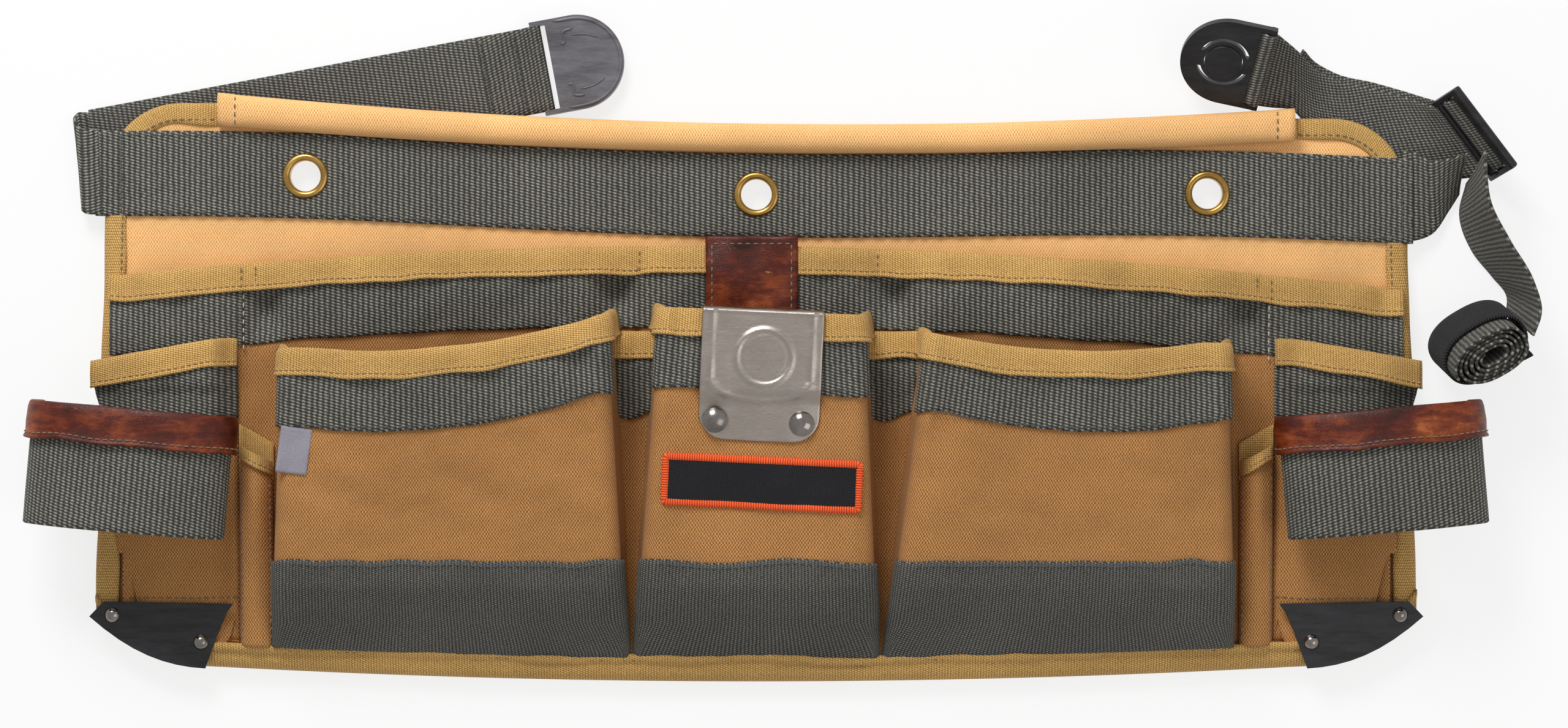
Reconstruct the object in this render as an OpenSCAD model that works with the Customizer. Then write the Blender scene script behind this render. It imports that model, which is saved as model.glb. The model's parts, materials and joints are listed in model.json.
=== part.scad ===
// Carpenter's waist apron: a canvas panel with two rows of pockets on a webbing waist strap.
// It lies on its back: +X runs along the waist, +Y up to the waist edge, +Z out of the front.

/* [Back panel] */
// Width of the apron along its bottom
panel_w = 605; // [500:1:760]
// Width of the apron along its top
panel_top_w = 592; // [490:1:750]
// Height at the middle, from the bottom edge to the top of the roll
panel_h = 253; // [235:1:320]
// Thickness of the doubled canvas
panel_t = 2.4; // [1.5:0.1:4]
// Radius of the rounded top corners
corner_r = 34; // [15:1:40]
// How far the bottom edge rises from its middle to the start of its corners
bottom_smile = 7; // [0:0.5:12]
// How far the bottom corners rise further
corner_rise = 20; // [5:1:30]
// Length of each bottom corner along X
corner_run = 52; // [35:1:70]
// Thickness of one layer of pocket canvas
cloth_t = 1.6; // [1:0.1:2.4]

/* [Bindings and roll] */
// Visible width of the tape that binds the bottom edge and the pocket mouths
tape_w = 12.5; // [8:0.5:16]
// Visible width of the tape that binds the sides
side_tape_w = 10; // [6:0.5:14]
// Height of the bound seam above the panel's front
seam_h = 5; // [3:0.5:7]
// How far a mouth's tape stands proud of the cloth on each side
tape_t = 0.5; // [0.3:0.1:1]
// Height of the padded roll along the top edge
roll_w = 15; // [10:0.5:20]
// Thickness of the padded roll
roll_t = 11.5; // [8:0.5:16]
// Half the length of the padded roll
roll_half = 245; // [180:1:250]
// Rise of the roll's ends, per square metre of distance
roll_rise = 160; // [0:10:300]
// Drop from the roll's ends to the corners' top edge
corner_drop = 4.5; // [2:0.5:8]

/* [Webbing] */
// Width of the waist webbing
web_w = 38; // [30:1:46]
// Thickness of every webbing
web_t = 1.4; // [1:0.1:2]
// Distance from the roll's top, at the middle, down to the webbing's centre line
waist_drop = 30.6; // [28:0.1:45]
// Fall of the waist line, in mm per mm
waist_fall = 0.02; // [0:0.005:0.03]
// Height of the slow wave in the waist line
waist_wave = 2.3; // [0:0.1:4]
// Length of one wave
wave_length = 440; // [300:10:600]
// Visible height of the webbing bands sewn under the mouths
band_w = 23.5; // [15:0.5:30]
// Room left between loose layers
lay_gap = 0.25; // [0.2:0.01:0.4]

/* [Grommets] */
// Radius of the hole through a grommet
grommet_hole_r = 7; // [4:0.1:8]
// Wall of the grommet's barrel
grommet_wall = 0.8; // [0.5:0.1:1.2]
// Radius of the grommet's rolled flange
grommet_r = 10.4; // [9:0.1:13]
// Distance from the middle grommet to each outer one
grommet_pitch = 205.5; // [150:0.5:230]
// Thickness of the washer behind
washer_t = 0.9; // [0.6:0.1:1.4]

/* [Pocket rows] */
// Gap between the waist webbing and the upper row's mouth, at the middle
mouth_gap = 7; // [3:0.5:15]
// How much lower the upper mouth is at its ends
upper_mouth_fall = 15; // [0:1:25]
// Depth of the upper pockets at the mouth
upper_depth = 11; // [8:0.5:20]
// Drop from the upper mouth to the lowest point of the main mouths
main_mouth_drop = 47.5; // [35:0.5:60]
// Rise of a main mouth from its lowest point to its ends
main_mouth_rise = 11; // [0:1:16]
// Drop from the upper mouth to the centre pocket's mouth
centre_mouth_drop = 29.5; // [20:0.5:40]
// Drop from the upper mouth to the mouths of the channels
channel_mouth_drop = 38.5; // [38:0.5:45]
// Drop from the upper mouth to the side pockets' mouths
side_mouth_drop = 41.5; // [30:0.5:55]
// How much lower the side mouths are at the outer edge
side_mouth_fall = 13; // [0:1:20]
// Depth of the main and centre pockets behind their fronts
main_depth = 24; // [14:1:36]
// Length of the curved bottom of these pockets
base_run = 40; // [25:1:50]
// Depth of the side pockets
side_depth = 8; // [6:0.5:12]
// Height of the webbing base bands above the bottom edge
base_h = 54; // [40:1:70]

/* [Pocket widths] */
// Width of the centre pocket at its mouth
centre_w = 91.5; // [75:0.5:96]
// Width of the centre pocket at its base
centre_base_w = 110; // [80:0.5:112]
// Distance of the centre pocket's middle to the right of the panel's middle
centre_shift = 2.7; // [0:0.1:3]
// Inner edge of the left main pocket at its mouth
left_main_in = 66; // [60:0.5:90]
// Inner edge of the right main pocket at its mouth
right_main_in = 76; // [60:0.5:90]
// Inner edge of both main pockets at their base
main_base_in = 58.5; // [58:0.5:70]
// Outer edge of both main pockets
main_out = 217; // [190:0.5:222]
// Width of the pencil slots
slot_w = 15.5; // [12:0.5:20]
// Height of the pencil slots' mouth above the bottom edge
slot_h = 118; // [90:1:125]
// Depth of the pencil slots
slot_depth = 9; // [7:0.5:14]

/* [Hammer loops] */
// Width of the hammer loops' webbing
loop_w = 54; // [44:1:64]
// Thickness of the loops' webbing
loop_t = 2; // [1.4:0.1:3]
// Height of the loops' middle above the bottom edge
loop_y = 91; // [85:1:100]
// Half the height of a loop above the pocket, along Z
loop_rise = 21; // [19:1:30]
// How far a loop reaches past the side of the apron
loop_reach = 27; // [15:1:40]
// Angle by which the loops rise towards their outer ends
loop_angle = 5; // [0:0.5:8]
// Width of the leather cap on a loop
leather_w = 17; // [10:0.5:22]
// Thickness of the leather
leather_t = 2; // [1.4:0.1:3]

/* [Corner guards and rivets] */
// Thickness of the corner guards
guard_t = 1.6; // [1:0.1:2.5]
// Height of the corner guards' straight edge above the bottom edge
guard_h = 35; // [28:1:42]
// Radius of the guard rivets' heads
rivet_r = 3.4; // [2.5:0.1:4.5]
// Height of the guard rivets' heads
rivet_h = 2; // [1:0.1:2.4]
// Radius of the rivet shanks
shank_r = 1.6; // [1:0.1:2]

/* [Tape clip, tab, patch and tag] */
// Width of the steel clip
clip_w = 55; // [40:0.5:60]
// Height of the steel clip
clip_h = 60; // [56:0.5:66]
// Thickness of its sheet
clip_t = 1.2; // [0.8:0.1:1.6]
// Distance that the clip stands off the cloth
clip_gap = 7.5; // [6.5:0.1:10]
// Angle of the clip on the pocket
clip_angle = -2.6; // [-4:0.1:4]
// Radius of the clip rivets' heads
clip_rivet_r = 5.7; // [4:0.1:7]
// Width of the leather tab behind the clip
tab_w = 42; // [30:1:50]
// Height of the leather tab
tab_h = 36; // [30:1:45]
// Width of the patch
patch_w = 89.5; // [60:0.5:95]
// Height of the patch
patch_h = 23; // [15:0.5:28]
// Width of the patch's stitched border
patch_edge = 2.4; // [1.5:0.1:4]
// Width of the side tag
tag_w = 13; // [8:0.5:18]
// Height of the side tag
tag_h = 20; // [12:0.5:25]

/* [Waist strap] */
// Length of the left strap from its fold to its buckle
strap_l = 211; // [150:1:240]
// Angle at which the left strap rises behind the apron
strap_rise = 10.6; // [10:0.1:12]
// Tilt of the fold line
fold_tilt = 4; // [0:0.5:5]
// Distance of the fold past the apron's side
fold_out = 9.5; // [7:0.5:20]
// Length of the doubled, sewn end
hem_l = 24; // [15:1:30]
// Radius of the buckle bars
bar_r = 1.9; // [1.5:0.1:2.5]
// Half the width of both buckle halves
buckle_half = 21.5; // [21:0.1:24]
// Length of the buckle halves past the bar
buckle_l = 38; // [30:1:45]
// Thickness of one layer of the buckle
buckle_t = 2.6; // [2:0.1:3.4]
// Angle by which the latch plate leans on its lower edge
latch_tilt = 35; // [20:1:40]
// Radius of the latch's push button
button_r = 8.5; // [6:0.1:10]
// Travel of the push button
button_travel = 1.8; // [1:0.1:2.2]

/* [Hidden] */

canvas = "#d8a066";
tape = "#a98d52";
webbing = "#50564f";
leather = "#6e3a26";
black = "#26262a";

reach = 900;                                   // longer than the apron in every direction
grid = 20;                                     // distance between the points of a curved edge
fit = 0.05;                                    // running clearance of rivets and barrels
under = 2*web_t + 3*lay_gap;                   // room for two straps behind the panel
panel_z = under + panel_t;                     // front of the panel
seam_z = panel_z + seam_h;                     // front of the bound seams
half_w = panel_w/2;
half_top = panel_top_w/2;
waist_y = panel_h - waist_drop;
upper_mouth_y = waist_y - web_w/2 - mouth_gap;
main_mouth_y = upper_mouth_y - main_mouth_drop;
centre_mouth_y = upper_mouth_y - centre_mouth_drop;
channel_mouth_y = upper_mouth_y - channel_mouth_drop;
side_mouth_y = upper_mouth_y - side_mouth_drop;
seam_x = main_out + slot_w + 3;                // seam between the slots and the side pockets
bend_x = half_w - corner_run;                  // where the bottom corners start
clip_y = centre_mouth_y + 1;                   // top of the steel clip
fold_x = -half_top - fold_out;
fold_r = (panel_z + web_t - lay_gap)/2;
fold_z = lay_gap + fold_r;
strap_y = upper_mouth_y + 42.5;                // where the left strap's centre line meets its fold

// Half the apron's width at a height, its bottom edge, the roll's top and the waist line
function half_at(y) = half_w + (half_top - half_w)*y/panel_h;
function low(x) = bottom_smile*pow(x/bend_x, 2) - 2
    + corner_rise*pow(max(0, abs(x) - bend_x)/corner_run, 2.2);
function edge(x) = low(x) + tape_w;
function roll_top(x) = panel_h + roll_rise*1e-6*pow(x - 45, 2);
function waist(x) = waist_y - waist_fall*x + waist_wave*cos(360*(x + 235)/wave_length);
function corner_y(side) = roll_top(side*roll_half) - corner_drop;

// Mouth lines
function upper_mouth(x) = upper_mouth_y - upper_mouth_fall*pow((x + 30)/280, 2);
function side_mouth(x) = side_mouth_y - side_mouth_fall*pow(max(0, abs(x) - seam_x)/(half_w - seam_x), 1.3);
function main_low_x(side) = side < 0 ? -172 : 152;
function main_mouth(x, side) = main_mouth_y + main_mouth_rise*pow((x - main_low_x(side))/85, 2);
function centre_mouth(x) = centre_mouth_y - 0.04*x;

// Height above the table of the inner face of each layer of cloth, at a height y on the apron
upper_z = function(y) panel_z + 0.2 + upper_depth*(y - tape_w)/(upper_mouth_y - tape_w);
upper_out = function(y) upper_z(y) + cloth_t;
over_upper = function(y) upper_z(y) + cloth_t + web_t + tape_t;
main_z = function(y) upper_z(tape_w) + cloth_t + main_depth*sin(90*min(1, max(0, (y - tape_w)/base_run)))
    + 0.09*y;
side_z = function(y) upper_out(y) + side_depth*min(1, max(0, (y - tape_w)/(2*base_run)));
function lift(f, d) = function(y) f(y) + d;

// Solid between two YZ outlines, over the flat shape given as child
module slab(lo, hi, ys) {
    profile = concat([for (y = ys) [y, lo(y)]], [for (i = [len(ys)-1:-1:0]) [ys[i], hi(ys[i])]]);
    intersection() {
        rotate([90, 0, 90]) linear_extrude(height = 2*reach, center = true) polygon(profile);
        linear_extrude(height = reach) children();
    }
}
straight = [0, reach/2];
curved = concat([for (i = [0:5]) i*(base_run + tape_w)/5], [reach/2]);
side_ys = [0, tape_w, tape_w + 2*base_run, reach/2];

// Points of a curved edge from x0 to x1, all on one polyline with a vertex at each grid line
function on_grid(f, x) = let (a = floor(x/grid)*grid) f(a) + (f(a + grid) - f(a))*(x - a)/grid;
function edge_points(f, x0, x1) = concat([[x0, on_grid(f, x0)]],
    [for (k = [floor(x0/grid) + 1:ceil(x1/grid) - 1]) [k*grid, f(k*grid)]], [[x1, on_grid(f, x1)]]);
function lowest(f, x0, x1) = min(on_grid(f, x0), on_grid(f, x1)) - 0.1;
function highest(f, x0, x1) = max(on_grid(f, x0), on_grid(f, x1)) + 0.1;
function backwards(list) = [for (i = [len(list)-1:-1:0]) list[i]];
// Flat area between two edge lines
module between(x0, x1, bottom, top) {
    a = min(x0, x1);
    b = max(x0, x1);
    polygon(concat(edge_points(bottom, a, b), backwards(edge_points(top, a, b))));
}
// The same, with sides that lean from x0, x1 at the bottom to x2, x3 at the top
module leaning(x0, x1, x2, x3, bottom, top) {
    polygon(concat(edge_points(bottom, x0, x1), backwards(edge_points(top, x2, x3))));
}

// Webbing ribbon whose two long edges run through the given points
module ribbon(a, b, t) {
    n = len(a);
    normals = [for (i = [0:n-1])
        let (along = a[min(i+1, n-1)] + b[min(i+1, n-1)] - a[max(i-1, 0)] - b[max(i-1, 0)],
             c = cross(along, a[i] - b[i])) c/norm(c)*t/2];
    points = [for (i = [0:n-1]) for (p = [a[i] + normals[i], b[i] + normals[i], b[i] - normals[i],
        a[i] - normals[i]]) p];
    sides = [for (i = [0:n-2]) for (k = [0:3]) let (p = 4*i + k, q = 4*i + (k+1)%4)
        for (face = [[p, q, q + 4], [p, q + 4, p + 4]]) face];
    last = 4*(n-1);
    ends = [[3, 2, 1], [3, 1, 0], [last, last + 1, last + 2], [last, last + 2, last + 3]];
    polyhedron(points, concat(sides, ends), 4);
}

// ---- Apron panel and its edges ----
module corner_arc(side, inset) {
    intersection() {
        translate([side*(half_top - corner_r), corner_y(side) - corner_r])
            circle(corner_r - inset, $fn = 64);
        translate([side > 0 ? half_top - corner_r - 1 : -half_top, corner_y(side) - corner_r - 1])
            square(corner_r + 1);
    }
}
module side_area(side, inset) {
    mirror([side > 0 ? 0 : 1, 0]) polygon([[roll_half - 5, 40], [half_at(40) - inset, 40],
        [half_top - inset, corner_y(side) - corner_r], [half_top - corner_r, corner_y(side) - corner_r],
        [half_top - corner_r, corner_y(side) - inset], [roll_half, corner_y(side) - inset],
        [roll_half, 150], [roll_half - 5, 150]]);
}
function corner_side(side) = let (r = corner_r - side_tape_w, x = half_top - corner_r,
    y = corner_y(side) - corner_r) concat([[side*(half_at(40) - side_tape_w), 40]],
    [for (i = [0:12]) [side*(x + r*cos(7.5*i)), y + r*sin(7.5*i) - 0.1]], [[side*roll_half, y + r - 0.1]]);
module panel_area() {
    inner = half_at(40) - side_tape_w;
    polygon(concat(edge_points(function(x) edge(x), -inner, inner), corner_side(1),
        backwards(edge_points(function(x) roll_top(x) - roll_w, -roll_half, roll_half)),
        backwards(corner_side(-1))));
}
module back_panel() {
    color(canvas) difference() {
        translate([0, 0, under]) linear_extrude(height = panel_t) panel_area();
        grommet_holes(grommet_hole_r + grommet_wall + fit);
    }
}
module bottom_binding() {
    color(tape) linear_extrude(height = seam_z)
        between(-half_w, half_w, function(x) low(x), function(x) edge(x));
}
module side_bindings() {
    color(tape) linear_extrude(height = seam_z) difference() {
        for (side = [-1, 1]) {
            top = waist(side*half_top) - web_w/2 - 0.2;
            mirror([side > 0 ? 0 : 1, 0]) polygon([[half_w - side_tape_w, 0], [half_w, 0],
                [half_at(top), top], [half_at(top) - side_tape_w, top]]);
        }
        between(-half_w, half_w, function(x) -reach, function(x) edge(x));
    }
}
module corner_bindings() {
    color(tape) for (side = [-1, 1])
        translate([0, 0, under]) linear_extrude(height = panel_t) difference() {
            union() {
                side_area(side, 0);
                corner_arc(side, 0);
            }
            side_area(side, side_tape_w);
            corner_arc(side, side_tape_w);
            translate([side > 0 ? 0 : -reach, 0]) square([reach, waist(side*half_top) - web_w/2]);
        }
}
module top_roll() {
    raised = lay_gap + 2*buckle_t + 0.8 + 0.35 - under; // the roll's outer half clears the buckle under it
    color(canvas) translate([0, 0, under]) {
        linear_extrude(height = roll_t) between(-roll_half, roll_half,
            function(x) roll_top(x) - roll_w, function(x) roll_top(x) - roll_w/2);
        translate([0, 0, raised]) linear_extrude(height = roll_t - raised) between(-roll_half, roll_half,
            function(x) roll_top(x) - roll_w/2, function(x) roll_top(x));
    }
}
module waist_webbing() {
    color(webbing) difference() {
        translate([0, 0, panel_z]) linear_extrude(height = web_t)
            between(fold_x + fold_r + 1.1, half_top + 3, function(x) waist(x) - web_w/2,
                function(x) min(waist(x) + web_w/2, roll_top(x) - roll_w));
        grommet_holes(grommet_hole_r + grommet_wall + fit);
    }
}
module at_grommets() {
    for (i = [-1:1]) translate([i*grommet_pitch, waist(i*grommet_pitch), 0]) children();
}
module grommet_holes(r) {
    at_grommets() cylinder(h = reach, r = r, $fn = 64);
}
module grommets() {
    ring_r = (grommet_r - grommet_hole_r)/2;
    top = panel_z + web_t;
    color("#a5823c") at_grommets() difference() {
        union() {
            translate([0, 0, under - washer_t]) cylinder(h = top - under + washer_t + 0.6,
                r = grommet_hole_r + grommet_wall, $fn = 64);
            intersection() {
                translate([0, 0, top]) rotate_extrude($fn = 64) translate([grommet_r - ring_r, 0])
                    circle(ring_r, $fn = 32);
                translate([0, 0, top]) cylinder(h = 2*ring_r, r = grommet_r + 1, $fn = 64);
            }
        }
        cylinder(h = reach, r = grommet_hole_r, $fn = 64);
    }
}
module grommet_washers() {
    color("#a5823c") at_grommets() translate([0, 0, under - washer_t]) difference() {
        cylinder(h = washer_t, r = grommet_r, $fn = 64);
        translate([0, 0, -1]) cylinder(h = washer_t + 2, r = grommet_hole_r + grommet_wall + fit, $fn = 64);
    }
}

// ---- Upper row ----
upper_half = half_w - side_tape_w - 5;
seams = [-upper_half + 2, -seam_x + 4, -54, 54, seam_x - 4, upper_half - 2];
module upper_front() {
    color(canvas) slab(upper_z, upper_out, straight)
        between(-upper_half, upper_half, function(x) edge(x), function(x) upper_mouth(x) - tape_w);
}
module upper_seams() {
    color(canvas) for (x = seams) slab(function(y) panel_z, upper_z, straight) {
        bottom = highest(function(x) edge(x), x - 1.5, x + 1.5);
        top = lowest(function(x) upper_mouth(x), x - 1.5, x + 1.5) - tape_w;
        translate([x - 1.5, bottom]) square([3, top - bottom]);
    }
}
module upper_band() {
    color(webbing) slab(upper_out, lift(upper_out, web_t), straight)
        between(-upper_half, upper_half, function(x) upper_mouth(x) - tape_w - band_w,
            function(x) upper_mouth(x) - tape_w);
}
module upper_binding() {
    color(tape) slab(lift(upper_z, -tape_t), over_upper, straight)
        between(-upper_half, upper_half, function(x) upper_mouth(x) - tape_w, function(x) upper_mouth(x));
}

// ---- Lower row: side pockets and channels ----
module side_wall(side, x, bottom) {
    top = lowest(function(x) side_mouth(x), x, x + cloth_t) - tape_w;
    translate([side > 0 ? x : -x - cloth_t, bottom]) square([cloth_t, top - bottom]);
}
module side_pocket(side) {
    outer = half_w - side_tape_w;
    color(canvas) union() {
        slab(side_z, lift(side_z, cloth_t), side_ys)
            between(side*seam_x, side*outer, function(x) edge(x), function(x) side_mouth(x) - tape_w);
        slab(function(y) upper_out(y) + 0.4, side_z, side_ys)
            side_wall(side, seam_x, edge(seam_x) + 10);
        slab(function(y) seam_z + 0.4, side_z, side_ys)
            side_wall(side, outer - cloth_t, edge(outer) + 24);
    }
}
module left_side_pocket() { side_pocket(-1); }
module right_side_pocket() { side_pocket(1); }
module side_strip(drop_top, drop_bottom) {
    for (side = [-1, 1]) between(side*seam_x, side*(half_w - side_tape_w),
        function(x) side_mouth(x) - drop_bottom, function(x) side_mouth(x) - drop_top);
}
module side_bands() {
    color(webbing) slab(lift(side_z, cloth_t), lift(side_z, cloth_t + web_t), side_ys)
        side_strip(tape_w, tape_w + band_w);
}
module side_bindings_mouth() {
    color(tape) slab(lift(side_z, -tape_t), lift(side_z, cloth_t + web_t + tape_t), side_ys)
        side_strip(0, tape_w);
}
channel_x = [[-left_main_in + 1, -centre_w/2 + centre_shift - 1],
    [centre_w/2 + centre_shift + 1, right_main_in - 1]];
module channel_strip(bottom, top) {
    difference() {
        for (c = channel_x) translate([c[0], channel_mouth_y - bottom])
            square([c[1] - c[0], bottom - top]);
        for (e = [left_edges, right_edges, centre_edges])
            leaning(e[0] - 0.3, e[1] + 0.3, e[2] - 0.3, e[3] + 0.3, function(x) edge(x),
                function(x) centre_mouth_y - tape_w);
    }
}
module channels() {
    color(canvas) slab(upper_out, lift(upper_out, cloth_t), straight)
        channel_strip(tape_w + 2*band_w, tape_w);
}
module channel_bands() {
    color(webbing) slab(lift(upper_out, cloth_t), lift(upper_out, cloth_t + web_t), straight)
        channel_strip(tape_w + band_w, tape_w);
}
module channel_bindings() {
    color(tape) slab(upper_out, lift(upper_out, cloth_t + web_t + tape_t), straight)
        channel_strip(tape_w, 0);
}

// ---- Lower row: main and centre pockets ----
// Edges of a deep pocket: [outer-left at base, outer-right at base, left at mouth, right at mouth]
left_edges = [-main_out - 2, -main_base_in, -main_out + 4, -left_main_in];
right_edges = [main_base_in, main_out - 1, right_main_in, main_out - 5];
centre_edges = [-centre_base_w/2, centre_base_w/2, centre_shift - centre_w/2, centre_shift + centre_w/2];
left_mouth = function(x) main_mouth(x, -1);
right_mouth = function(x) main_mouth(x, 1);
mid_mouth = function(x) centre_mouth(x);

module pocket_area(e, bottom, top) {
    leaning(e[0], e[1], e[2], e[3], bottom, top);
}
module pocket_strip(e, mouth, drop_top, drop_bottom) {
    intersection() {
        pocket_area(e, function(x) edge(x), mouth);
        between(-half_w, half_w, function(x) mouth(min(max(x, e[2]), e[3])) - drop_bottom,
            function(x) mouth(min(max(x, e[2]), e[3])) - drop_top);
    }
}
module pocket_front(e, mouth) {
    color(canvas) slab(main_z, lift(main_z, cloth_t), curved)
        pocket_area(e, function(x) edge(x), function(x) mouth(x) - tape_w);
}
module pocket_gussets(e, mouth) {
    color(canvas) slab(upper_out, main_z, curved) {
        leaning(e[0], e[0] + cloth_t, e[2], e[2] + cloth_t, function(x) edge(x), function(x) mouth(x) - tape_w);
        leaning(e[1] - cloth_t, e[1], e[3] - cloth_t, e[3], function(x) edge(x), function(x) mouth(x) - tape_w);
    }
}
module pocket_band(e, mouth) {
    color(webbing) slab(lift(main_z, cloth_t), lift(main_z, cloth_t + web_t), curved)
        between(e[2], e[3], function(x) mouth(x) - tape_w - band_w, function(x) mouth(x) - tape_w);
}
module pocket_binding(e, mouth) {
    color(tape) slab(lift(main_z, -tape_t), lift(main_z, cloth_t + web_t + tape_t), curved)
        between(e[2], e[3], function(x) mouth(x) - tape_w, mouth);
}
module pocket_base(e) {
    lean = (e[2] - e[0])*base_h/main_mouth_y;
    lean_right = (e[3] - e[1])*base_h/main_mouth_y;
    color(webbing) slab(lift(main_z, cloth_t), lift(main_z, cloth_t + web_t), curved)
        leaning(e[0], e[1], e[0] + lean, e[1] + lean_right, function(x) edge(x), function(x) base_h);
}
module left_main_front() { pocket_front(left_edges, left_mouth); }
module left_main_gussets() { pocket_gussets(left_edges, left_mouth); }
module left_main_band() { pocket_band(left_edges, left_mouth); }
module left_main_binding() { pocket_binding(left_edges, left_mouth); }
module left_main_base() { pocket_base(left_edges); }
module right_main_front() { pocket_front(right_edges, right_mouth); }
module right_main_gussets() { pocket_gussets(right_edges, right_mouth); }
module right_main_band() { pocket_band(right_edges, right_mouth); }
module right_main_binding() { pocket_binding(right_edges, right_mouth); }
module right_main_base() { pocket_base(right_edges); }
module centre_front() { pocket_front(centre_edges, mid_mouth); }
module centre_gussets() { pocket_gussets(centre_edges, mid_mouth); }
module centre_band() { pocket_band(centre_edges, mid_mouth); }
module centre_binding() { pocket_binding(centre_edges, mid_mouth); }
module centre_base() { pocket_base(centre_edges); }

// ---- Pencil slots: flat sleeves between the main and the side pockets ----
slot_in = main_out + 2.4;
module slot_shell(side, bottom, top, wall, inside) {
    outer_z = lift(upper_out, slot_depth + 2*wall);
    difference() {
        slab(lift(upper_out, 0.4), outer_z, straight) translate([side > 0 ? slot_in : -slot_in - slot_w, bottom])
            square([slot_w, top - bottom]);
        slab(lift(upper_out, wall + 0.4), lift(outer_z, -wall), straight)
            translate([(side > 0 ? slot_in : -slot_in - slot_w) + wall, bottom + inside])
                square([slot_w - 2*wall, reach/3]);
    }
}
module pencil_slots() {
    color(canvas) for (side = [-1, 1]) slot_shell(side,
        highest(function(x) edge(x), slot_in, slot_in + slot_w), slot_h - 10, cloth_t, 3);
}
module pencil_bindings() {
    color(tape) for (side = [-1, 1]) slot_shell(side, slot_h - 10, slot_h, cloth_t, -1);
}

// ---- Hammer loops ----
loop_x = seam_x + 1;
loop_z = side_z(loop_y + loop_w/2) + cloth_t + web_t + 5;
loop_half = (half_w + loop_reach - loop_x)/2;
front_drop = loop_z - side_z(loop_y + loop_w/2) - cloth_t - 0.3; // down to the side pocket
back_drop = loop_z - seam_z - 0.1;             // down to the side binding
foot_x = half_w - side_tape_w/2 - loop_x;      // where the loop's back leg ends on that binding
function sweep(drop, rise) = asin(min(1, drop/rise));
function loop_arc(grow, from, to) = [for (i = [0:24]) let (q = from + (to - from)*i/24)
    [loop_half - (loop_half + grow)*cos(q), (loop_rise + grow)*sin(q)]];
module loop_section() {
    polygon(concat(loop_arc(0, -sweep(front_drop, loop_rise), 180 + sweep(back_drop, loop_rise)),
        [[foot_x, -back_drop], [foot_x, loop_t - back_drop]],
        backwards(loop_arc(-loop_t, -sweep(front_drop, loop_rise),
            180 + sweep(back_drop - loop_t, loop_rise - loop_t)))));
}
module cap_section() {
    polygon(concat(loop_arc(leather_t + 0.1, 4, 200), backwards(loop_arc(0.1, 4, 200))));
}
module on_loop(side) {
    translate([side*loop_x, loop_y, loop_z]) mirror([side > 0 ? 0 : 1, 0, 0]) rotate([0, 0, loop_angle])
        rotate([90, 0, 0]) children();
}
module hammer_loop(side) {
    color(webbing) on_loop(side)
        linear_extrude(height = loop_w, center = true) loop_section();
}
module loop_leather(side) {
    color(leather) on_loop(side) translate([0, 0, -loop_w/2 - 1.5])
        linear_extrude(height = leather_w) cap_section();
}
module left_hammer_loop() { hammer_loop(-1); }
module right_hammer_loop() { hammer_loop(1); }
module left_loop_leather() { loop_leather(-1); }
module right_loop_leather() { loop_leather(1); }

// ---- Corner guards ----
guard_in = bend_x - 13;
guard_rivet = [[bend_x + 2, 16.5], [half_w - 10, 29]];
guard_bend = 21;                               // height where the guard starts to lean on the pocket
guard_z = function(y) max(seam_z, seam_z + (side_z(60) + cloth_t + 0.2 - seam_z)*(y - guard_bend)/(60 - guard_bend));
module at_guard_rivets() {
    for (p = guard_rivet) translate([p[0], p[1], guard_z(p[1])]) children();
}
module corner_guards() {
    outer = [for (i = [0:8]) let (x = bend_x + (half_w + 0.6 - bend_x)*i/8) [x, low(x) - 0.6]];
    color(black) for (side = [-1, 1]) mirror([side > 0 ? 0 : 1, 0, 0]) difference() {
        translate([0, 60, 0]) slab(function(y) guard_z(y + 60), function(y) guard_z(y + 60) + guard_t,
            [-60, guard_bend - 60, reach/2])
            translate([0, -60]) polygon(concat(outer, [[half_w - 6, guard_h],
                [guard_in, guard_h - 1], [guard_in + 3, guard_h - 5], [guard_in + 7, guard_h - 14]]));
        at_guard_rivets() translate([0, 0, -3]) cylinder(h = reach, r = shank_r + fit, $fn = 32);
    }
}
module rivet_head(r, h) {
    ball = (r*r + h*h)/(2*h);
    intersection() {
        translate([0, 0, h - ball]) sphere(ball, $fn = 64);
        cylinder(h = h + 1, r = r + 1, $fn = 64);
    }
}
module guard_rivets() {
    color("silver") for (side = [-1, 1]) mirror([side > 0 ? 0 : 1, 0, 0]) at_guard_rivets() {
        cylinder(h = guard_t + 0.6, r = shank_r, $fn = 32);
        translate([0, 0, guard_t + 0.5]) rivet_head(rivet_r, rivet_h);
    }
}

// ---- Leather tab, steel clip, patch and tag ----
module leather_tab() {
    color(leather) slab(over_upper, lift(over_upper, leather_t), straight)
        translate([-2 - tab_w/2, upper_mouth_y + 4 - tab_h]) square([tab_w, tab_h]);
}
clip_foot_y = clip_y - 44;                     // the clip lies on the cloth below this height
clip_off = function(y) main_z(y) + cloth_t + clip_gap*min(1, max(0, (y - clip_foot_y)/8));
clip_ys = [0, base_run + tape_w, clip_foot_y, clip_foot_y + 8, reach/2];
module clip_area() {
    translate([3.4, clip_y]) rotate(clip_angle) {
        translate([-clip_w/2, 12 - clip_h]) square([clip_w, clip_h - 12]);
        translate([-clip_w/2 + 12, -clip_h]) square([clip_w - 24, 13]);
        for (x = [-1, 1]) translate([x*(clip_w/2 - 12), 12 - clip_h]) circle(12, $fn = 48);
    }
}
clip_rivet_x = clip_w/2 - 8;
module at_clip_rivets() {
    for (x = [-1, 1]) let (a = clip_angle, px = x*clip_rivet_x, py = 9 - clip_h,
        X = 3.4 + px*cos(a) - py*sin(a), Y = clip_y + px*sin(a) + py*cos(a))
        translate([X, Y, main_z(Y) + cloth_t]) children();
}
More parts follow.
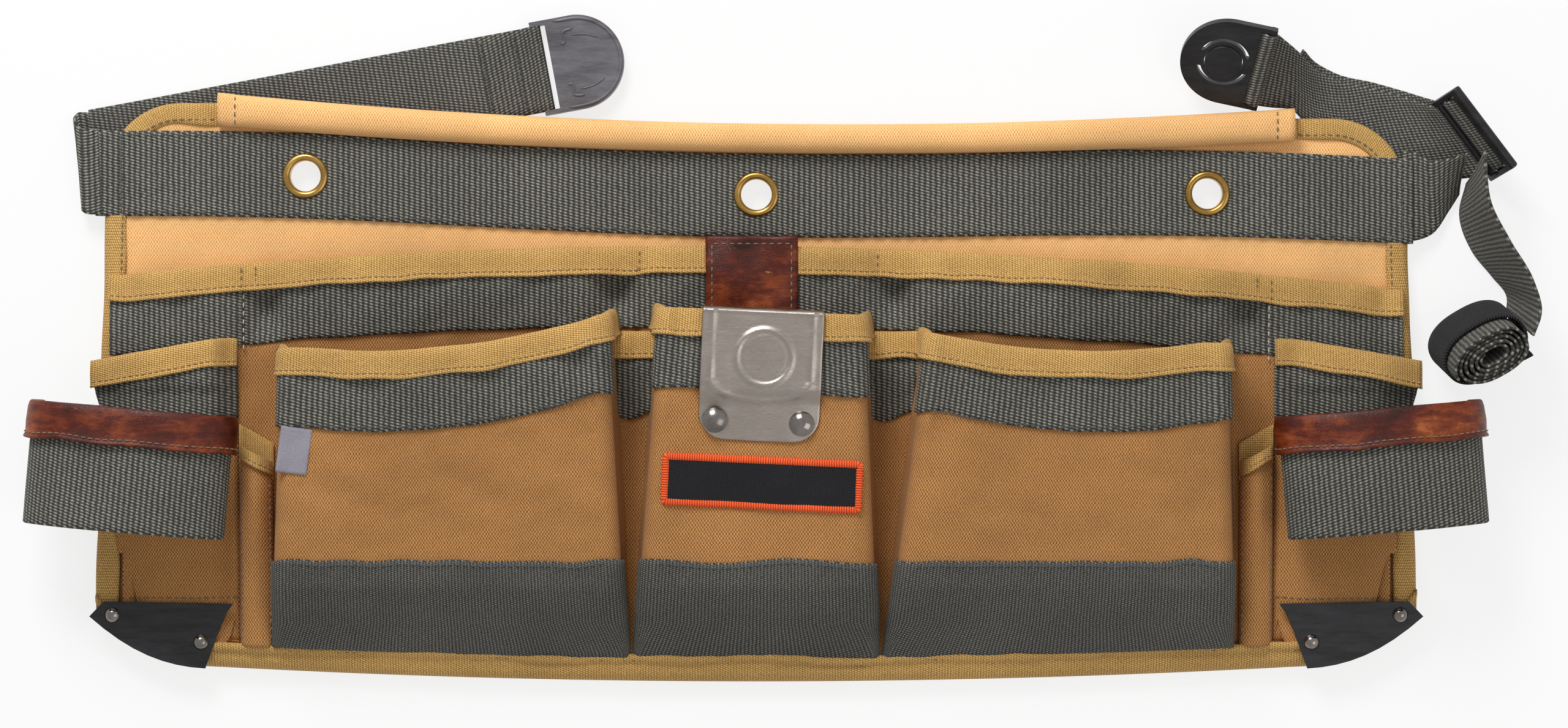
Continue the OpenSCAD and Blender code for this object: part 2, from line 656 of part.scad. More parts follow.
module tape_clip() {
    color("#c9c0b6") difference() {
        slab(clip_off, lift(clip_off, clip_t), clip_ys) clip_area();
        at_clip_rivets() translate([0, 0, -2]) cylinder(h = 20, r = shank_r + fit, $fn = 32);
    }
}
module clip_rivets() {
    color("silver") at_clip_rivets() {
        translate([0, 0, 0.6]) cylinder(h = clip_t + 0.4, r = shank_r, $fn = 32);
        translate([0, 0, clip_t + 0.7]) rivet_head(clip_rivet_r, 2.4);
    }
}
patch_y = (base_h + centre_mouth_y - tape_w - band_w)/2 - 3;
module patch_shape(inset) {
    translate([centre_shift, patch_y]) rotate(clip_angle)
        square([patch_w - 2*inset, patch_h - 2*inset], center = true);
}
module patch() {
    color(black) slab(lift(main_z, cloth_t), lift(main_z, cloth_t + 0.8), curved) patch_shape(patch_edge);
}
module patch_border() {
    color("#f0582a") slab(lift(main_z, cloth_t), lift(main_z, cloth_t + 1.3), curved) difference() {
        patch_shape(0);
        patch_shape(patch_edge);
    }
}
module side_tag() {
    color("#98929b") slab(lift(main_z, cloth_t), lift(main_z, cloth_t + 0.6), curved)
        translate([left_edges[2] - 1.8, main_mouth_y - 53.8]) rotate(-8) square([tag_w, tag_h]);
}

// ---- Left strap and buckle ----
module in_strap() {
    translate([fold_x, strap_y, 0]) rotate([0, 0, strap_rise]) children();
}
module at_fold() {
    translate([fold_x, strap_y - 4.5, fold_z]) rotate([0, 0, fold_tilt]) rotate([90, 0, 0]) children();
}
module left_fold() {
    color(webbing) at_fold() cylinder(h = web_w + 4, r = fold_r, center = true, $fn = 48);
}
eye_r = bar_r + 0.3;                           // inner radius of the webbing's eye around a bar
bar_z = lay_gap + web_t + eye_r;
module left_strap() {
    color(webbing) difference() {
        in_strap() strap_layers();
        at_fold() cylinder(h = 2*web_w, r = fold_r + fit, center = true, $fn = 48);
    }
}
module strap_layers() {
    difference() {
        union() {
            translate([2.5, -web_w/2, lay_gap]) cube([strap_l - 2.5, web_w, web_t]);
            translate([strap_l - hem_l, -web_w/2, lay_gap]) cube([hem_l - 5, web_w, 2*web_t]);
            translate([strap_l, 0, bar_z]) rotate([90, 0, 0])
                cylinder(h = web_w, r = eye_r + web_t, center = true, $fn = 48);
        }
        translate([strap_l, 0, bar_z]) rotate([90, 0, 0])
            cylinder(h = web_w + 2, r = eye_r, center = true, $fn = 48);
    }
}
module buckle_area(inset) {
    r = buckle_half - inset;
    intersection() {
        union() {
            translate([buckle_l - buckle_half, 0]) circle(r, $fn = 96);
            translate([0, -r]) square([buckle_l - buckle_half, 2*r]);
        }
        translate([-5, -r]) square([buckle_l + 10, 2*r]);
    }
}
button_x = buckle_l - buckle_half + 2;
slot_l = eye_r + web_t + 1.5;                  // room past the bar for the webbing's eye
module buckle_frame(z0, t) {
    translate([0, 0, z0]) linear_extrude(height = t) intersection() {
        buckle_area(0);
        translate([slot_l, -buckle_half]) square([buckle_l, 2*buckle_half]);
    }
    for (y = [-1, 1]) translate([-bar_r, y > 0 ? web_w/2 + 0.4 : -buckle_half, z0])
        cube([slot_l + bar_r + 1, buckle_half - web_w/2 - 0.4, t]);
}
module bar() {
    rotate([90, 0, 0]) cylinder(h = 2*buckle_half, r = bar_r, center = true, $fn = 32);
}
module left_buckle() {
    color("#4b484b") in_strap() translate([strap_l, 0, bar_z]) difference() {
        union() {
            buckle_frame(lay_gap - bar_z, buckle_t);
            buckle_frame(lay_gap - bar_z + buckle_t + 0.8, buckle_t);
            translate([slot_l, -buckle_half + 4, lay_gap - bar_z + buckle_t - 1])
                cube([4, 2*buckle_half - 8, 3]);
            bar();
        }
        translate([button_x, 0, lay_gap - bar_z - 1])
            cylinder(h = buckle_t + 1, r = button_r + 2, $fn = 64);
    }
}

// ---- Right strap: webbing lead, adjuster, doubled strap, latch plate and tail ----
bar_at = [230, waist_y + 54.35, 17];
latch_yaw = 168;
module in_latch() {
    translate(bar_at) rotate([0, 0, latch_yaw]) rotate([-latch_tilt, 0, 0]) children();
}
adjuster_at = [326, waist_y + 25, 16];
adjuster_lean = 68;
adjuster_yaw = 37;
module in_adjuster() {
    translate(adjuster_at) rotate([0, 0, adjuster_yaw]) rotate([0, -adjuster_lean, 0]) children();
}
lead_a = [[half_top + 3.3, waist(half_top + 3.3) + web_w/2, panel_z + web_t/2],
    [half_top + 11, waist_y + 12.5, 8.5], [half_top + 19, waist_y + 13.5, 13], [half_top + 26, waist_y + 15.5, 19]];
lead_b = [[half_top + 3.3, waist(half_top + 3.3) - web_w/2, panel_z + web_t/2],
    [half_top + 13, waist_y - 19.5, 4.5], [half_top + 20, waist_y - 10, 2], [half_top + 25, waist_y - 2, 2]];
module right_lead() {
    color(webbing) ribbon(lead_a, lead_b, web_t);
}
module adjuster() {
    half = web_w/2 + 3.5;
    color(black) in_adjuster() {
        difference() {
            translate([-12, -half, -2]) cube([24, 2*half, 4]);
            for (x = [-6.6, 1.6]) translate([x, -web_w/2 - 0.6, -3]) cube([5, web_w + 1.2, 6]);
        }
    }
}
strap_a = [[235.4, waist_y + 68.7, 27.9], [248, waist_y + 60, 17], [257, waist_y + 53.8, 5.2],
    [265, waist_y + 50, 2.6], [282, waist_y + 46, 2.5], [296, waist_y + 42, 2.6], [304, waist_y + 39, 4.8],
    [309.8, waist_y + 36.6, 8.7]];
strap_b = [[229, waist_y + 38.3, 6.1], [236, waist_y + 37.5, 3.8], [244, waist_y + 36.6, 2.45],
    [252, waist_y + 28, 2.5], [271, waist_y + 11, 2.5], [298, waist_y + 6, 2.6], [320, waist_y + 5.4, 3.9],
    [332.6, waist_y + 6.2, 8.7]];
module right_strap() {
    color(webbing) ribbon(strap_a, strap_b, web_t);
}
module latch_plate() {
    color(black) in_latch() difference() {
        union() {
            translate([0, 0, -1.6]) linear_extrude(height = 3.2) intersection() {
                buckle_area(0);
                translate([slot_l, -buckle_half]) square([buckle_l, 2*buckle_half]);
            }
            for (y = [-1, 1]) translate([-bar_r, y > 0 ? web_w/2 + 0.4 : -buckle_half, -1.6])
                cube([slot_l + bar_r + 1, buckle_half - web_w/2 - 0.4, 3.2]);
            bar();
        }
        translate([button_x, 0, -5]) {
            cylinder(h = 10, r = button_r + 0.3, $fn = 64);
            linear_extrude(height = 10) difference() {
                circle(button_r + 3.6, $fn = 64);
                circle(button_r + 2, $fn = 64);
                square([2*reach, 8], center = true);
            }
        }
    }
}
module latch_button() {
    color(black) in_latch() translate([button_x, 0, -1.6])
        cylinder(h = 3.2 + button_travel/2, r = button_r, $fn = 64);
}
tail_a = [[half_top + 31, waist_y + 16, 34], [half_top + 34, waist_y - 8, 34.5], [half_top + 42, waist_y - 24, 35],
    [half_top + 53, waist_y - 43, 35.5], [half_top + 56, waist_y - 56, 36], [half_top + 52.4, waist_y - 66.4, 37]];
tail_b = [[half_top + 28, waist_y + 3, 2.5], [half_top + 25, waist_y - 10, 1.2], [half_top + 31, waist_y - 28, 1],
    [half_top + 40, waist_y - 40, 1], [half_top + 46.5, waist_y - 49, 1], [half_top + 46.2, waist_y - 55.4, 2]];
module strap_tail() {
    color(webbing) ribbon(tail_a, tail_b, web_t);
}
roll_at = [half_top + 31, waist_y - 70.5, 25];
roll_turn = 30;
roll_lean = 20;
module in_roll() {
    translate(roll_at) rotate([0, 0, roll_turn]) rotate([roll_lean, 0, 0]) children();
}
module oval(l, r) {
    for (x = [-1, 1]) translate([x*(l/2 - r), 0]) circle(r, $fn = 48);
    square([l - 2*r, 2*r], center = true);
}
module tail_roll() {
    color(webbing) in_roll() linear_extrude(height = web_w, center = true) oval(36, 11);
}
module tail_keeper() {
    color(black) in_roll() translate([0, 0, -15]) linear_extrude(height = 24) difference() {
        oval(39.4, 12.7);
        oval(36.6, 11.3);
    }
}
module keeper_flap() {
    color(black) in_roll() translate([-2, -14.4, -15]) cube([20, 1.4, 24]);
}

back_panel();
bottom_binding();
side_bindings();
corner_bindings();
top_roll();
waist_webbing();
grommets();
grommet_washers();
upper_front();
upper_seams();
upper_band();
upper_binding();
left_side_pocket();
right_side_pocket();
side_bands();
side_bindings_mouth();
channels();
channel_bands();
channel_bindings();
left_main_front();
left_main_gussets();
left_main_band();
left_main_binding();
left_main_base();
right_main_front();
right_main_gussets();
right_main_band();
right_main_binding();
right_main_base();
centre_front();
centre_gussets();
centre_band();
centre_binding();
centre_base();
pencil_slots();
pencil_bindings();
left_hammer_loop();
right_hammer_loop();
left_loop_leather();
right_loop_leather();
corner_guards();
guard_rivets();
leather_tab();
tape_clip();
clip_rivets();
patch();
patch_border();
side_tag();
left_fold();
left_strap();
left_buckle();
right_lead();
adjuster();
right_strap();
latch_plate();
latch_button();
strap_tail();
tail_roll();
tail_keeper();
keeper_flap();
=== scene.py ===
"""Visual model of a canvas waist apron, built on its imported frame. Lengths are in millimetres."""

import json
import math

import bmesh
import bpy
import numpy as np
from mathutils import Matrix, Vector


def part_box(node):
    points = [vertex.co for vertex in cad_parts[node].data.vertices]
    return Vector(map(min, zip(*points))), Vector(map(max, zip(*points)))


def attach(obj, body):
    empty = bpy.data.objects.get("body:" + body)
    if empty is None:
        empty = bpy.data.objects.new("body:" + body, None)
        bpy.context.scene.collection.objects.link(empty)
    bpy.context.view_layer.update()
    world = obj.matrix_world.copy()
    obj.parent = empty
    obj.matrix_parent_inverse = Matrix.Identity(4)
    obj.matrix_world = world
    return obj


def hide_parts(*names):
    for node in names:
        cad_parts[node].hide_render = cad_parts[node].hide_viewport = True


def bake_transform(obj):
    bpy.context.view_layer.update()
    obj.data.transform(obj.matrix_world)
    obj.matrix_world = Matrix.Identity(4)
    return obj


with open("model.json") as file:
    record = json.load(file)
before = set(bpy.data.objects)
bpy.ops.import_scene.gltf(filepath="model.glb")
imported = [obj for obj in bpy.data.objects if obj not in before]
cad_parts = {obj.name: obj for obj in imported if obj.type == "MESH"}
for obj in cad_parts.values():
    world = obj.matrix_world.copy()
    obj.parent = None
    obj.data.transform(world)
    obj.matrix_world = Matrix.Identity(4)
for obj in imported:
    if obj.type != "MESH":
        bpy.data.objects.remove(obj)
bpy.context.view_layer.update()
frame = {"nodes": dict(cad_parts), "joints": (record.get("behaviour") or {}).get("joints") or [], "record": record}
MM = 0.001
ROOT = "apron"
UP = np.array([0.0, 0.0, 1.0])

# ---- Named sizes of what the frame leaves plain ----
CLOTH_T = 1.6
WEB_T = 1.4
LEATHER_T = 2.0
STITCH_STEP = 3.3
STITCH_L = 2.4
STITCH_R = 0.34
MOUTH_STITCH = {"step": 2.9, "length": 2.2}
SEAM_DIP = 0.75
CORNER_R = 7.5
LOOP_ANGLE = 5.0
LOOP_RISE = 21.0
LOOP_HALF = 46.5
LOOP_W = 54.0
CLIP_ANGLE = -2.6
GRID_STEP = 2.4  # pitch of most grids
GROMMET_CUT_R = 9.0
BAND_LIFT = WEB_T + 0.1  # front of a webbing band above the canvas under it
TAPE_LIFT = WEB_T + 0.2
FOLDED_T = CLOTH_T + WEB_T  # what a mouth's tape is folded over
UNDER_TAPE = 2.2  # canvas ends this far below its tape's edge
BAND_HIDDEN = 4.0  # a band runs on this far under its tape
CLOTH_ROUGHNESS = 0.85
SHEEN = 0.06
SETTLE_FRAMES = 14


# ---- Reading the frame ----
def cad_points(node):
    """Corners of a CAD node's mesh, one row each."""
    mesh = frame["nodes"][node].data
    points = np.empty(len(mesh.vertices) * 3)
    mesh.vertices.foreach_get("co", points)
    return points.reshape(-1, 3) / MM


def box(node):
    lo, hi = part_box(node)
    return np.array(lo) / MM, np.array(hi) / MM


def curve_through(xs, ys):
    """Smooth function through the given points."""
    xs, ys = np.asarray(xs, float), np.asarray(ys, float)
    slope = np.gradient(ys, xs)
    slope = np.clip(slope, -1.5, 1.5)

    def at(x):
        x = np.clip(x, xs[0], xs[-1])
        i = np.clip(np.searchsorted(xs, x, side="right") - 1, 0, len(xs) - 2)
        h = xs[i + 1] - xs[i]
        t = (x - xs[i]) / h
        start = (1 + 2 * t) * (1 - t) ** 2 * ys[i] + t * (1 - t) ** 2 * h * slope[i]
        return start + t**2 * (3 - 2 * t) * ys[i + 1] + t**2 * (t - 1) * h * slope[i + 1]

    return at


class Layer:
    """Edges of a CAD cloth solid along X, and its front, whose height depends on Y alone."""

    def __init__(self, node, side=0):
        points = cad_points(node)
        if side:
            points = points[points[:, 0] * side > 0]
        self.lo, self.hi = points.min(0), points.max(0)
        middle = (self.lo[1] + self.hi[1]) / 2
        tops, bottoms = [], []
        for x in np.unique(points[:, 0].round(1)):
            ys = points[abs(points[:, 0] - x) < 0.06, 1]
            tall = ys.max() - ys.min()
            # Corners of a round hole are no edge of the cloth.
            if tall < 20 and min(abs(x - g[0]) for g in GROMMETS) < 8.5 and x % 20 > 0.05:
                continue
            if tall > 1 or ys.max() > middle:
                tops.append((x, ys.max()))
            if tall > 1 or ys.min() < middle:
                bottoms.append((x, ys.min()))
        self.top = curve_through(*zip(*tops))
        self.bottom = curve_through(*zip(*bottoms))
        ys = np.unique(points[:, 1].round(1))
        rows = [points[abs(points[:, 1] - y) < 0.06, 2] for y in ys]
        full = [k for k, r in enumerate(rows) if r.max() - r.min() > 0.5]
        self.ys = ys[full]
        self.front_z = np.array([rows[k].max() for k in full])

    def front(self, y):
        return np.interp(y, self.ys, self.front_z)


GROMMETS = [np.array(m["pos_m"][:2]) / MM for m in frame["record"]["mounts"] if m["kind"] == "bore"]
GROMMET_HOLES = [(g[0], g[1], GROMMET_CUT_R) for g in GROMMETS]


def joint_at(name):
    """Place of a joint in mm, and its axis."""
    joint = next(j for j in frame["joints"] if j["name"] == name)
    return np.array(joint["pos_m"]) / MM, np.array(joint["axis"])


def yaw_of(axis):
    """Degrees by which a pivot along Y is turned about Z."""
    return math.degrees(math.atan2(-axis[0], axis[1]))


def side_name(side):
    return "left" if side < 0 else "right"


def shared(side, node):
    """Where both sides share a CAD node, the left piece stands in for it."""
    return [node] if side < 0 else []


# ---- Fields that make cloth uneven ----
def ripple(x, y, size, seed, waves=9):
    """Smooth random field between about -1 and 1, with features of the given size."""
    rng = np.random.default_rng(seed)
    total = 0
    for _ in range(waves):
        angle, phase = rng.uniform(0, 2 * math.pi, 2)
        length = size * rng.uniform(0.6, 1.8)
        total = total + np.sin((x * math.cos(angle) + y * math.sin(angle)) * 2 * math.pi / length + phase)
    return total / waves**0.5 * 0.8


def pucker(along, away, seed, pitch=9.0, reach=7.0):
    """Small waves that a seam draws into the cloth beside it."""
    wander = ripple(along, along * 0, 60, seed)
    return np.sin(2 * math.pi * along / pitch + 3 * wander) * np.exp(-np.abs(away) / reach)


def smooth_step(t):
    t = np.clip(t, 0, 1)
    return t * t * (3 - 2 * t)


def new_object(name, verts, faces, uv, material, body, replaces=()):
    """Adds a mesh given in mm, with the named material."""
    mesh = bpy.data.meshes.new(name)
    mesh.from_pydata((np.asarray(verts) * MM).tolist(), [], faces)
    mesh.validate()
    if uv is not None:
        layer = mesh.uv_layers.new(name="UVMap")
        index = np.empty(len(mesh.loops), np.int32)
        mesh.loops.foreach_get("vertex_index", index)
        layer.data.foreach_set("uv", np.asarray(uv, np.float32)[index].ravel())
    mesh.polygons.foreach_set("use_smooth", [True] * len(mesh.polygons))
    mesh.materials.append(MATERIALS[material])
    obj = bpy.data.objects.new(name, mesh)
    bpy.context.scene.collection.objects.link(obj)
    if body:
        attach(obj, body)
    if replaces:
        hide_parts(*replaces)
    return obj


def grid_faces(rows, cols, start=0, flip=False, wrap=False):
    i, j = np.meshgrid(np.arange(rows - 1), np.arange(cols if wrap else cols - 1), indexing="ij")
    i, j = i.ravel(), j.ravel()
    k = (j + 1) % cols
    quads = np.stack([i * cols + j, (i + 1) * cols + j, (i + 1) * cols + k, i * cols + k], 1) + start
    return (quads[:, ::-1] if flip else quads).tolist()


def surface_normals(front):
    n = np.cross(np.gradient(front, axis=0), np.gradient(front, axis=1))
    return n / np.maximum(np.linalg.norm(n, axis=2, keepdims=True), 1e-9)


def sheet(name, front, thick, material, uv=None, body=ROOT, replaces=(), holes=(), flip=False):
    """Cloth of the given thickness behind a grid of points, with rounded edges."""
    uv = front[:, :, :2] if uv is None else uv
    rows, cols = front.shape[:2]
    front = front.copy()
    keep = np.ones((rows, cols), bool)
    for cx, cy, r in holes:
        away = front[:, :, :2] - (cx, cy)
        dist = np.linalg.norm(away, axis=2)
        inside = dist < r
        front[:, :, :2][inside] = (cx, cy) + away[inside] / np.maximum(dist[inside], 0.01)[:, None] * r
        keep &= ~inside
    normal = surface_normals(front) * (-1 if flip else 1)
    back = front - normal * thick
    verts = [front.reshape(-1, 3), back.reshape(-1, 3)]
    uvs = [uv.reshape(-1, 2)] * 2
    kept = keep.ravel()
    faces = grid_faces(rows, cols, 0, flip) + grid_faces(rows, cols, rows * cols, not flip)
    if holes:
        faces = [f for f in faces if any(kept[v % (rows * cols)] for v in f)]
    ring = ([(i, 0) for i in range(rows)] + [(rows - 1, j) for j in range(1, cols)]
            + [(i, cols - 1) for i in range(rows - 2, -1, -1)] + [(0, j) for j in range(cols - 2, 0, -1)])
    rim_i, rim_j = np.array(ring).T
    inner_i, inner_j = np.clip(rim_i, 1, rows - 2), np.clip(rim_j, 1, cols - 2)
    out = front[rim_i, rim_j] - front[inner_i, inner_j]
    out /= np.maximum(np.linalg.norm(out, axis=1, keepdims=True), 1e-9)
    middle = (front[rim_i, rim_j] + back[rim_i, rim_j]) / 2 + out * thick * 0.35
    base = 2 * rows * cols
    verts.append(middle)
    uvs.append(uv[rim_i, rim_j])
    a = rim_i * cols + rim_j
    count = len(ring)
    for k in range(count):
        n = (k + 1) % count
        upper = [a[k], base + k, base + n, a[n]]
        lower = [base + k, a[k] + rows * cols, a[n] + rows * cols, base + n]
        faces += [upper[::-1], lower[::-1]] if flip else [upper, lower]
    return new_object(name, np.vstack(verts), faces, np.vstack(uvs), material, body, replaces)


def tube(name, rings, uv, material, body=ROOT, replaces=(), flip=False):
    """Closed solid through a row of closed rings, with flat ends."""
    rows, cols = rings.shape[:2]
    faces = grid_faces(rows, cols, 0, flip, wrap=True)
    first, last = list(range(cols)), list(range((rows - 1) * cols, rows * cols))
    faces += [first[::-1], last] if flip else [first, last[::-1]]
    return new_object(name, rings.reshape(-1, 3), faces, uv.reshape(-1, 2), material, body, replaces)


def swept(name, rings, along, material, **options):
    """Tube whose texture runs along it and round each of its rings."""
    uv = [[(s, a) for a in arc_length(np.array(ring))] for s, ring in zip(along, rings)]
    tube(name, np.array(rings), np.array(uv), material, **options)


def arc_length(points):
    """Length along a path from its start to each of its points."""
    return np.concatenate([[0], np.cumsum(np.linalg.norm(np.diff(points, axis=0), axis=1))])


def resample(points, count):
    s = arc_length(points)
    at = np.linspace(0, s[-1], count)
    return np.stack([np.interp(at, s, points[:, k]) for k in range(points.shape[1])], 1)


def spline(points, count):
    """Smooth path through chosen points, as evenly spaced points."""
    points = np.asarray(points, float)
    s = arc_length(points)
    at = np.linspace(0, s[-1], 12 * count)
    dense = np.stack([curve_through(s, points[:, k])(at) for k in range(3)], 1)
    return resample(dense, count)


def pairs(a, b):
    """Grid of every pair of a value of a and a value of b."""
    return np.stack(np.meshgrid(a, b, indexing="ij"), 2)


def on_surface(xs, ys, z, lift):
    """Points on a surface z(x, y), raised by lift. xs or ys may be one number."""
    xs, ys = np.broadcast_arrays(xs, ys)
    return np.stack([xs, ys, z(xs, ys) + lift], 1)


THREADS = {}


def stitches(thread, path, normal=UP, step=STITCH_STEP, length=STITCH_L, body=ROOT):
    """Adds a row of stitches along a path on the cloth's face."""
    path = np.asarray(path, float)
    s = arc_length(path)
    count = max(1, int(s[-1] / step))
    normals = np.broadcast_to(np.asarray(normal, float), path.shape)
    for k in range(count):
        centre_s = (k + 0.5) * s[-1] / count
        pick = lambda rows, at: np.array([np.interp(at, s, rows[:, c]) for c in range(3)])
        a, b = pick(path, centre_s - length / 2), pick(path, centre_s + length / 2)
        n = pick(normals, centre_s)
        THREADS.setdefault((thread, body), []).append((a, b, n / np.linalg.norm(n)))


def build_threads():
    """Turns the collected stitches into one mesh per thread and body."""
    # Share of the length, share of the radius, and rise above the cloth.
    stations = [(0.0, 0.35, -0.25), (0.16, 0.9, 0.02), (0.5, 1.0, 0.16), (0.84, 0.9, 0.02),
                (1.0, 0.35, -0.25)]
    for (thread, body), rows in THREADS.items():
        verts, faces = [], []
        for a, b, n in rows:
            side = np.cross(b - a, n)
            side /= np.linalg.norm(side)
            base = len(verts)
            for t, r, rise in stations:
                centre = a + (b - a) * t + n * rise
                for q in range(6):
                    angle = q * math.pi / 3
                    offset = side * math.cos(angle) + n * math.sin(angle) * 0.8
                    verts.append(centre + offset * STITCH_R * r)
            faces += grid_faces(len(stations), 6, base, wrap=True)
            last = base + 6 * (len(stations) - 1)
            faces += [[base + q for q in range(6)], [last + q for q in reversed(range(6))]]
        new_object(f"stitches_{thread}_{body}", verts, faces, None, thread, body)


# ---- Materials ----
def srgb(text):
    parts = [int(text[k : k + 2], 16) / 255 for k in (1, 3, 5)]
    return [c / 12.92 if c <= 0.04045 else ((c + 0.055) / 1.055) ** 2.4 for c in parts] + [1.0]


MATERIALS = {}


class Nodes:
    """Short ways to add and join the nodes of one material, which is kept in MATERIALS by its name."""

    def __init__(self, name, roughness, **constants):
        self.material = MATERIALS[name] = bpy.data.materials.new(name)
        self.material.use_nodes = True
        self.tree = self.material.node_tree
        self.shader = self.tree.nodes["Principled BSDF"]
        self.shader.inputs["Roughness"].default_value = roughness
        for socket, value in constants.items():
            self.shader.inputs[socket.replace("_", " ")].default_value = value

    def add(self, kind, **settings):
        node = self.tree.nodes.new(kind)
        for key, value in settings.items():
            setattr(node, key, value)
        return node

    def join(self, source, target):
        self.tree.links.new(source, target)

    def math(self, operation, a, b=None, clamp=False):
        node = self.add("ShaderNodeMath", operation=operation, use_clamp=clamp)
        for socket, value in zip(node.inputs, (a, b)):
            if value is None:
                continue
            if isinstance(value, (int, float)):
                socket.default_value = value
            else:
                self.join(value, socket)
        return node.outputs[0]

    def uv(self):
        split = self.add("ShaderNodeSeparateXYZ")
        self.join(self.add("ShaderNodeUVMap", uv_map="UVMap").outputs[0], split.inputs[0])
        return split.outputs[0], split.outputs[1]

    def noise(self, scale, detail=3.0, roughness=0.55, stretch=(1, 1, 1)):
        """Noise in object space; scale is in features per metre."""
        place = self.add("ShaderNodeMapping")
        place.inputs["Scale"].default_value = stretch
        self.join(self.add("ShaderNodeTexCoord").outputs["Object"], place.inputs[0])
        node = self.add("ShaderNodeTexNoise")
        node.inputs["Scale"].default_value = scale
        node.inputs["Detail"].default_value = detail
        node.inputs["Roughness"].default_value = roughness
        self.join(place.outputs[0], node.inputs["Vector"])
        return node.outputs[0]

    def ramp(self, value, stops):
        node = self.add("ShaderNodeValToRGB")
        elements = node.color_ramp.elements
        while len(elements) < len(stops):
            elements.new(0.5)
        for element, (at, colour) in zip(elements, stops):
            element.position = at
            element.color = srgb(colour) if isinstance(colour, str) else [colour] * 3 + [1]
        self.join(value, node.inputs[0])
        return node.outputs[0]

    def mix(self, factor, a, b, blend="MIX"):
        node = self.add("ShaderNodeMix", data_type="RGBA", blend_type=blend)
        sockets = [node.inputs[0], node.inputs[6], node.inputs[7]]
        for socket, value in zip(sockets, (factor, a, b)):
            if isinstance(value, (int, float)):
                socket.default_value = value
            elif isinstance(value, str):
                socket.default_value = srgb(value)
            else:
                self.join(value, socket)
        return node.outputs[2]

    def wave(self, value, period, phase=0.0):
        """Sine of a length in mm, with the given period."""
        turned = self.math("MULTIPLY", value, 2 * math.pi / period)
        return self.math("SINE", self.math("ADD", turned, phase))

    def bump(self, height, distance, strength=1.0, after=None):
        node = self.add("ShaderNodeBump")
        node.inputs["Distance"].default_value = distance
        node.inputs["Strength"].default_value = strength
        self.join(height, node.inputs["Height"])
        if after is not None:
            self.join(after, node.inputs["Normal"])
        return node.outputs[0]

    def finish(self, colour=None, normal=None, roughness=None):
        if colour is not None:
            self.join(colour, self.shader.inputs["Base Color"])
        if normal is not None:
            self.join(normal, self.shader.inputs["Normal"])
        if roughness is not None:
            self.join(roughness, self.shader.inputs["Roughness"])


def finish_cloth(n, height, depth, fibre, stops, patches, coarse):
    """Colours threads by their height and lays fibres, patches and unevenness over them."""
    fuzz = n.math("SUBTRACT", n.noise(fibre[0], 2, 0.7), 0.5)
    threads = n.ramp(n.math("ADD", height, n.math("MULTIPLY", fuzz, fibre[1])), stops)
    scale, dark, light = patches
    shade = n.ramp(n.noise(scale, 4, 0.6), [(0.3, dark), (0.7, light)])
    uneven = n.bump(n.noise(90, 3), 0.0006, coarse)
    n.finish(n.mix(1.0, threads, shade, "MULTIPLY"), n.bump(height, depth * MM, 0.9, uneven))


def woven(name, low, high, shade, period_u, period_v, rib, depth, sheen=SHEEN):
    """Plain weave of raised dots: low and high are the colours of gaps and threads."""
    n = Nodes(name, CLOTH_ROUGHNESS, Sheen_Weight=sheen, Sheen_Roughness=0.5, Specular_IOR_Level=0.25)
    u, v = n.uv()
    wobble = n.math("SUBTRACT", n.noise(260, 2), 0.5)
    u = n.math("ADD", u, n.math("MULTIPLY", wobble, period_u * 0.7))
    dots = n.math("MULTIPLY", n.wave(u, period_u), n.wave(v, period_v))
    ribs = n.math("ABSOLUTE", n.wave(u, 2 * period_u, math.pi / 4))
    height = n.math("ADD", n.math("MULTIPLY", dots, 0.5 * (1 - rib)), n.math("MULTIPLY", ribs, rib))
    height = n.math("ADD", height, 0.5 - 0.35 * rib)
    stops = [(0.12, low), (0.5, shade), (0.92, high)]
    finish_cloth(n, height, depth, (1500, 0.7), stops, (14, 0.84, 1.08), 0.35)


def ribbed(name, low, shade, high, rib, dash, slant, depth):
    """Webbing or tape: ribs across its length, crossed by short slanted dashes. rib and dash are pitches."""
    n = Nodes(name, CLOTH_ROUGHNESS, Sheen_Weight=SHEEN, Sheen_Roughness=0.5, Specular_IOR_Level=0.25)
    u, v = n.uv()
    wobble = n.math("SUBTRACT", n.noise(300, 2), 0.5)
    u = n.math("ADD", u, n.math("MULTIPLY", wobble, rib * 0.5))
    leaning = n.math("ADD", v, n.math("MULTIPLY", u, slant))
    # Both waves are brought to between 0 and 1.
    ribs = n.math("ADD", n.math("MULTIPLY", n.wave(u, rib), 0.5), 0.5)
    dashes = n.math("ADD", n.math("MULTIPLY", n.wave(leaning, dash), 0.5), 0.5)
    ribs = n.math("ADD", n.math("MULTIPLY", ribs, 0.6), 0.4)
    height = n.math("MULTIPLY", ribs, n.math("ADD", n.math("MULTIPLY", dashes, 0.7), 0.3))
    stops = [(0.12, low), (0.45, shade), (0.95, high)]
    finish_cloth(n, height, depth, (1300, 0.75), stops, (16, 0.82, 1.1), 0.3)


